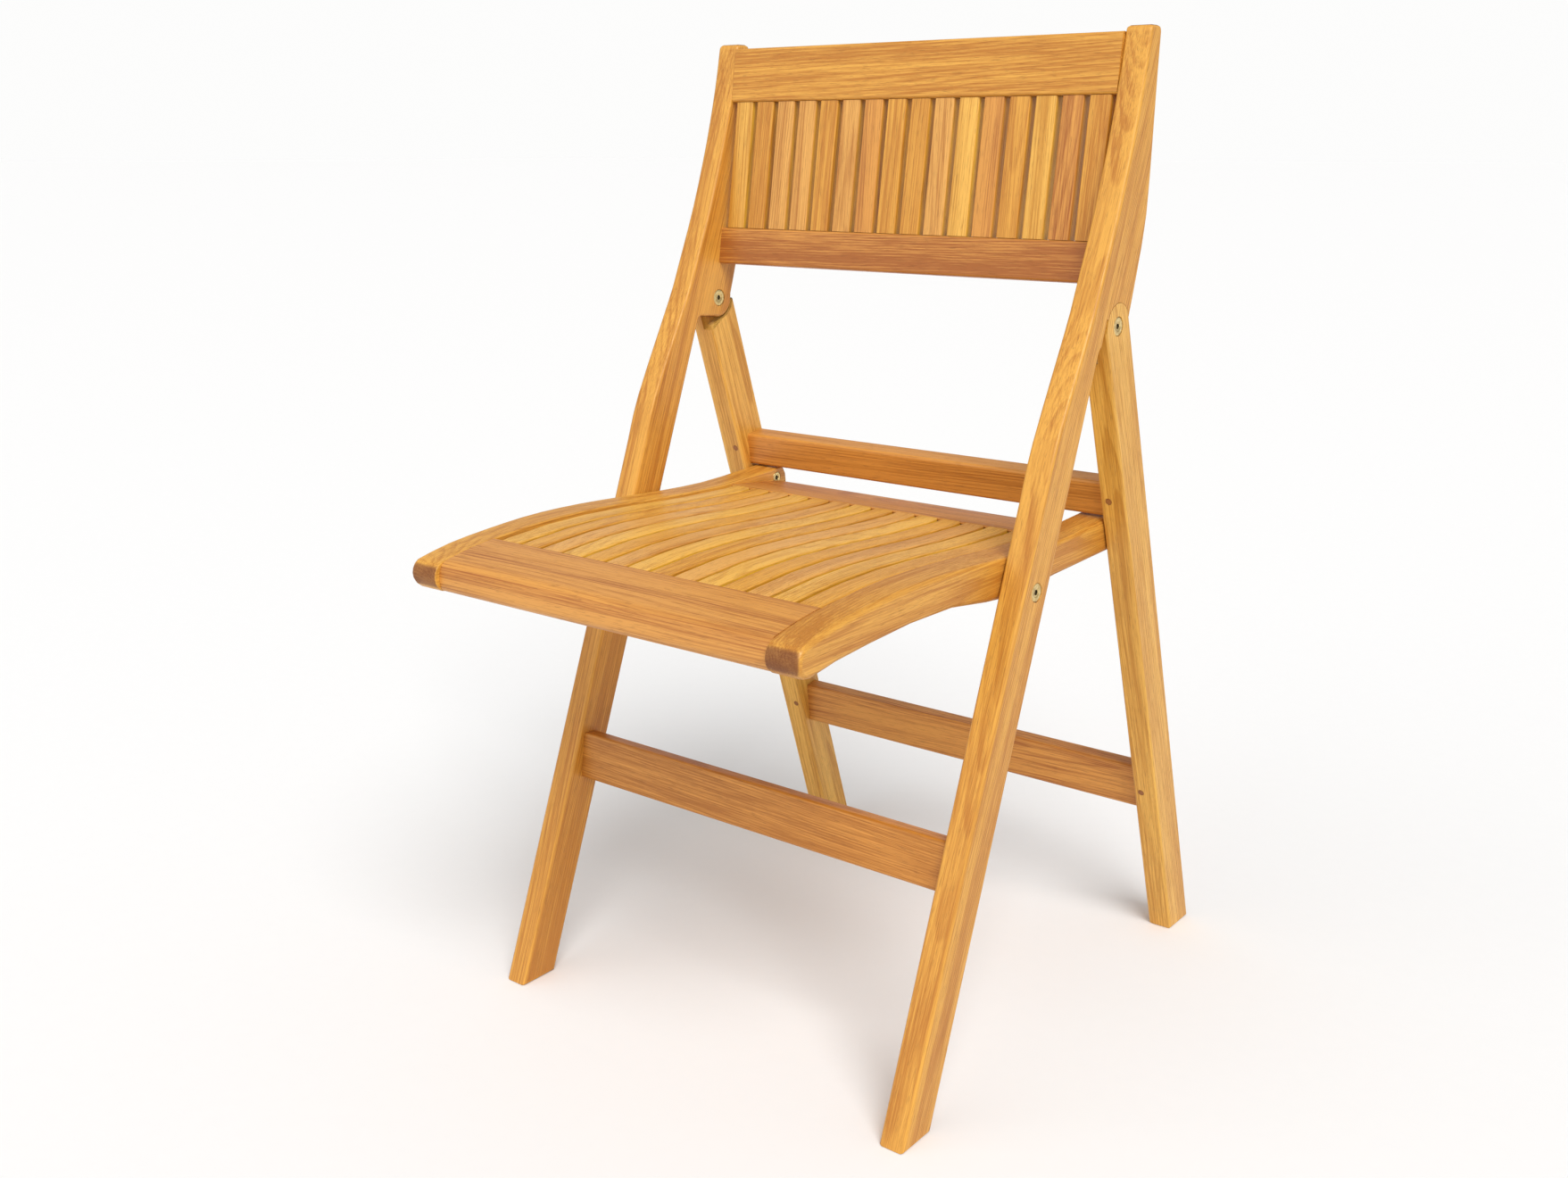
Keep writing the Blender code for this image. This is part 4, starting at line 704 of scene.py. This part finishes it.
def head_of(node, hardware, radius, shank_radius, bore=0.0):
    """The connector or pin that stands for a node, with the node's own length."""
    low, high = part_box(node)
    middle = (low + high) / 2.0
    length = high.x - low.x
    inner = node.startswith("seat_pin") or "_nut_" in node
    right = node.endswith("_right")
    side = (-1.0 if right else 1.0) if inner else (1.0 if right else -1.0)
    shank = [(shank_radius, -hardware.head_thickness), (shank_radius, SHANK_CHAMFER - length),
             (shank_radius - SHANK_CHAMFER, -length)]
    if bore:
        shank += [(bore, -length), (bore, -hardware.head_thickness - SLEEVE_WEB)]
    bm = socket_head(hardware, radius, shank)
    seat_head(bm, Vector((high.x if side > 0 else low.x, middle.y, middle.z)), side)
    piece = place_piece(f"{node}_plated", bm, node)
    piece.data.set_sharp_from_angle(angle=HEAD_SMOOTH_LIMIT)


# ------------------------------------------------------------------ operators

class CHAIR_OT_finishes(bpy.types.Operator):
    """Make the teak tones and the plating"""
    bl_idname = "chair.finishes"
    bl_label = "Finishes"

    def execute(self, context):
        teak = context.scene.chair_teak
        grain = sawn_teak_group()
        tones = {"teak_honey": (teak.honey_light, teak.honey_dark),
                 "teak_pale": (teak.pale_light, teak.pale_dark),
                 "teak_amber": (teak.amber_light, teak.amber_dark),
                 "teak_russet": (teak.russet_light, teak.russet_dark),
                 "teak_pinkish": (teak.pinkish_light, teak.pinkish_dark)}
        for material in list(bpy.data.materials):
            if material.name in tones or material.name == "brass_plate":
                material.name = f"{material.name}_plain"
        for name, (light, dark) in tones.items():
            teak_material(name, grain, light, dark, teak)
        plated_material("brass_plate", plated_wear_group(), context.scene.chair_hardware)
        return {"FINISHED"}


class CHAIR_OT_front_frame(bpy.types.Operator):
    """Saw the stiles, the back's rails and the front lower rail"""
    bl_idname = "chair.front_frame"
    bl_label = "Front frame"

    def execute(self, context):
        for side in ("left", "right"):
            saw_board(f"stile_{side}", board_axes(STILE_LEAN, "up"))
        for name in ("back_top_rail", "back_lower_rail", "front_lower_rail"):
            saw_board(name, board_axes(BACK_LEAN, "rail"), "stile_right")
        return {"FINISHED"}


class CHAIR_OT_back_slats(bpy.types.Operator):
    """Saw the upright slats of the back"""
    bl_idname = "chair.back_slats"
    bl_label = "Back slats"

    def execute(self, context):
        for name in sorted(node for node in NODES if node.startswith("back_slat_")):
            saw_board(name, board_axes(BACK_LEAN, "slat"))
        return {"FINISHED"}


class CHAIR_OT_rear_frame(bpy.types.Operator):
    """Saw the rear legs, their stretchers and the locking dowels"""
    bl_idname = "chair.rear_frame"
    bl_label = "Rear frame"

    def execute(self, context):
        for side in ("left", "right"):
            saw_board(f"rear_leg_{side}", board_axes(REAR_LEG_LEAN, "up"))
        for name in ("low_stretcher", "high_stretcher"):
            saw_board(name, board_axes(STRETCHER_LEAN, "rail"), "rear_leg_right")
        for name in sorted(node for node in NODES if "_dowel_" in node):
            saw_board(name, board_axes(REAR_LEG_LEAN, "level"), end=DOWEL_END)
        return {"FINISHED"}


class CHAIR_OT_seat_frame(bpy.types.Operator):
    """Saw the seat's side, front and rear rails"""
    bl_idname = "chair.seat_frame"
    bl_label = "Seat frame"

    def execute(self, context):
        for side in ("left", "right"):
            saw_board(f"seat_side_rail_{side}", board_axes(0.0, "level"))
        for name in ("seat_front_rail", "seat_rear_rail"):
            saw_board(name, board_axes(0.0, "rail"), "seat_side_rail_right")
        return {"FINISHED"}


class CHAIR_OT_seat_slats(bpy.types.Operator):
    """Saw the bent slats of the seat"""
    bl_idname = "chair.seat_slats"
    bl_label = "Seat slats"

    def execute(self, context):
        for name in sorted(node for node in NODES if node.startswith("seat_slat_")):
            saw_board(name, board_axes(0.0, "seat"))
        return {"FINISHED"}


class CHAIR_OT_connectors(bpy.types.Operator):
    """Turn the sleeve bolts and nuts of the knuckles and seat pivots, and the seat pins"""
    bl_idname = "chair.connectors"
    bl_label = "Connectors"

    def execute(self, context):
        hardware = context.scene.chair_hardware
        for side in ("left", "right"):
            for joint in ("knuckle", "seat_pivot"):
                head_of(f"{joint}_bolt_{side}", hardware, hardware.head_radius, BOLT_SHANK_RADIUS)
                head_of(f"{joint}_nut_{side}", hardware, hardware.head_radius, SLEEVE_RADIUS,
                        SLEEVE_BORE_RADIUS)
            head_of(f"seat_pin_{side}", hardware, hardware.pin_head_radius, PIN_RADIUS)
        return {"FINISHED"}


def soft_sun(name, strength, softness, azimuth, elevation):
    """A broad, even light over the whole floor. Azimuth runs from the chair's front to its right."""
    data = bpy.data.lights.new(name, "SUN")
    data.energy = strength
    data.angle = softness
    data.color = LIGHT_COLOUR
    lamp = bpy.data.objects.new(name, data)
    flat = math.cos(elevation)
    toward = Vector((flat * math.sin(azimuth), -flat * math.cos(azimuth), math.sin(elevation)))
    lamp.location = LIGHT_DISTANCE * toward
    lamp.rotation_euler = toward.to_track_quat("Z", "Y").to_euler()
    bpy.context.scene.collection.objects.link(lamp)


def white_room(studio):
    """Even light from all round, with a brighter backdrop where the camera looks past the chair."""
    world = bpy.data.worlds.new("studio_room")
    world.use_nodes = True
    tree = world.node_tree
    background = tree.nodes["Background"]
    background.inputs["Color"].default_value = ROOM_COLOUR
    seen = put(tree, "ShaderNodeLightPath")
    more = math_node(tree, "MULTIPLY", seen.outputs["Is Camera Ray"],
                     studio.backdrop_strength - studio.room_strength)
    tree.links.new(math_node(tree, "ADD", more, studio.room_strength), background.inputs["Strength"])
    return world


def lay_floor(studio):
    """A plain paper floor with a very faint texture."""
    bm = bmesh.new()
    bmesh.ops.create_grid(bm, x_segments=1, y_segments=1, size=studio.floor_size / 2.0)
    bmesh.ops.translate(bm, vec=(0.0, 0.0, -FLOOR_DROP), verts=bm.verts)
    mesh = bpy.data.meshes.new("studio_floor")
    bm.to_mesh(mesh)
    bm.free()
    floor = bpy.data.objects.new("studio_floor", mesh)
    bpy.context.scene.collection.objects.link(floor)
    material, tree, shader = new_material("studio_paper")
    place = put(tree, "ShaderNodeTexCoord")
    fibre = put(tree, "ShaderNodeTexNoise", in_Vector=place.outputs["Object"], in_Scale=PAPER_SCALE,
                in_Detail=4.0)
    low = tuple(PAPER_SHADE * value for value in studio.floor_colour)
    paper = mix_colour(tree, fibre.outputs["Fac"], (*low, 1.0), (*studio.floor_colour, 1.0))
    tree.links.new(paper, shader.inputs["Base Color"])
    shader.inputs["Roughness"].default_value = PAPER_ROUGHNESS
    shader.inputs["Specular IOR Level"].default_value = PAPER_SPECULAR
    mesh.materials.append(material)


class CHAIR_OT_studio(bpy.types.Operator):
    """Lay the floor and backdrop, and set the lights and the camera"""
    bl_idname = "chair.studio"
    bl_label = "Studio"

    def execute(self, context):
        scene = context.scene
        studio = scene.chair_studio
        lay_floor(studio)
        scene.world = white_room(studio)
        soft_sun("key_light", studio.key_strength, studio.key_softness, studio.key_azimuth,
                 studio.key_elevation)
        soft_sun("fill_light", studio.fill_strength, studio.fill_softness, studio.fill_azimuth,
                 studio.fill_elevation)

        camera_data = bpy.data.cameras.new("chair_camera")
        camera_data.sensor_width = SENSOR_WIDTH
        camera_data.lens = studio.lens
        camera = bpy.data.objects.new("chair_camera", camera_data)
        camera.location = studio.camera_place
        camera.rotation_euler = (math.pi / 2 - studio.camera_tilt, 0.0, studio.camera_azimuth)
        scene.collection.objects.link(camera)
        scene.camera = camera
        scene.view_settings.view_transform = "Standard"
        return {"FINISHED"}


class CHAIR_PT_panel(bpy.types.Panel):
    """Sidebar panel with the chair's settings and steps"""
    bl_idname = "CHAIR_PT_panel"
    bl_label = "Folding Chair"
    bl_space_type = "VIEW_3D"
    bl_region_type = "UI"
    bl_category = "Chair"

    def draw(self, context):
        layout = self.layout
        for owner in (context.scene.chair_teak, context.scene.chair_hardware, context.scene.chair_studio):
            box = layout.box()
            for name in owner.bl_rna.properties.keys():
                if name not in ("rna_type", "name"):
                    box.prop(owner, name)
        for operator in OPERATORS:
            layout.operator(operator.bl_idname)


SETTINGS = {"chair_teak": ChairTeakSettings, "chair_hardware": ChairHardwareSettings,
            "chair_studio": ChairStudioSettings}
OPERATORS = (CHAIR_OT_finishes, CHAIR_OT_front_frame, CHAIR_OT_back_slats, CHAIR_OT_rear_frame,
             CHAIR_OT_seat_frame, CHAIR_OT_seat_slats, CHAIR_OT_connectors, CHAIR_OT_studio)


def register():
    for item in (*SETTINGS.values(), *OPERATORS, CHAIR_PT_panel):
        bpy.utils.register_class(item)
    for name, settings in SETTINGS.items():
        setattr(bpy.types.Scene, name, PointerProperty(type=settings))


def unregister():
    for name in SETTINGS:
        delattr(bpy.types.Scene, name)
    for item in (CHAIR_PT_panel, *reversed(OPERATORS), *SETTINGS.values()):
        bpy.utils.unregister_class(item)


def main():
    register()
    bpy.ops.chair.finishes()
    bpy.ops.chair.front_frame()
    bpy.ops.chair.back_slats()
    bpy.ops.chair.rear_frame()
    bpy.ops.chair.seat_frame()
    bpy.ops.chair.seat_slats()
    bpy.ops.chair.connectors()
    bpy.ops.chair.studio()


if __name__ == "__main__":
    main()
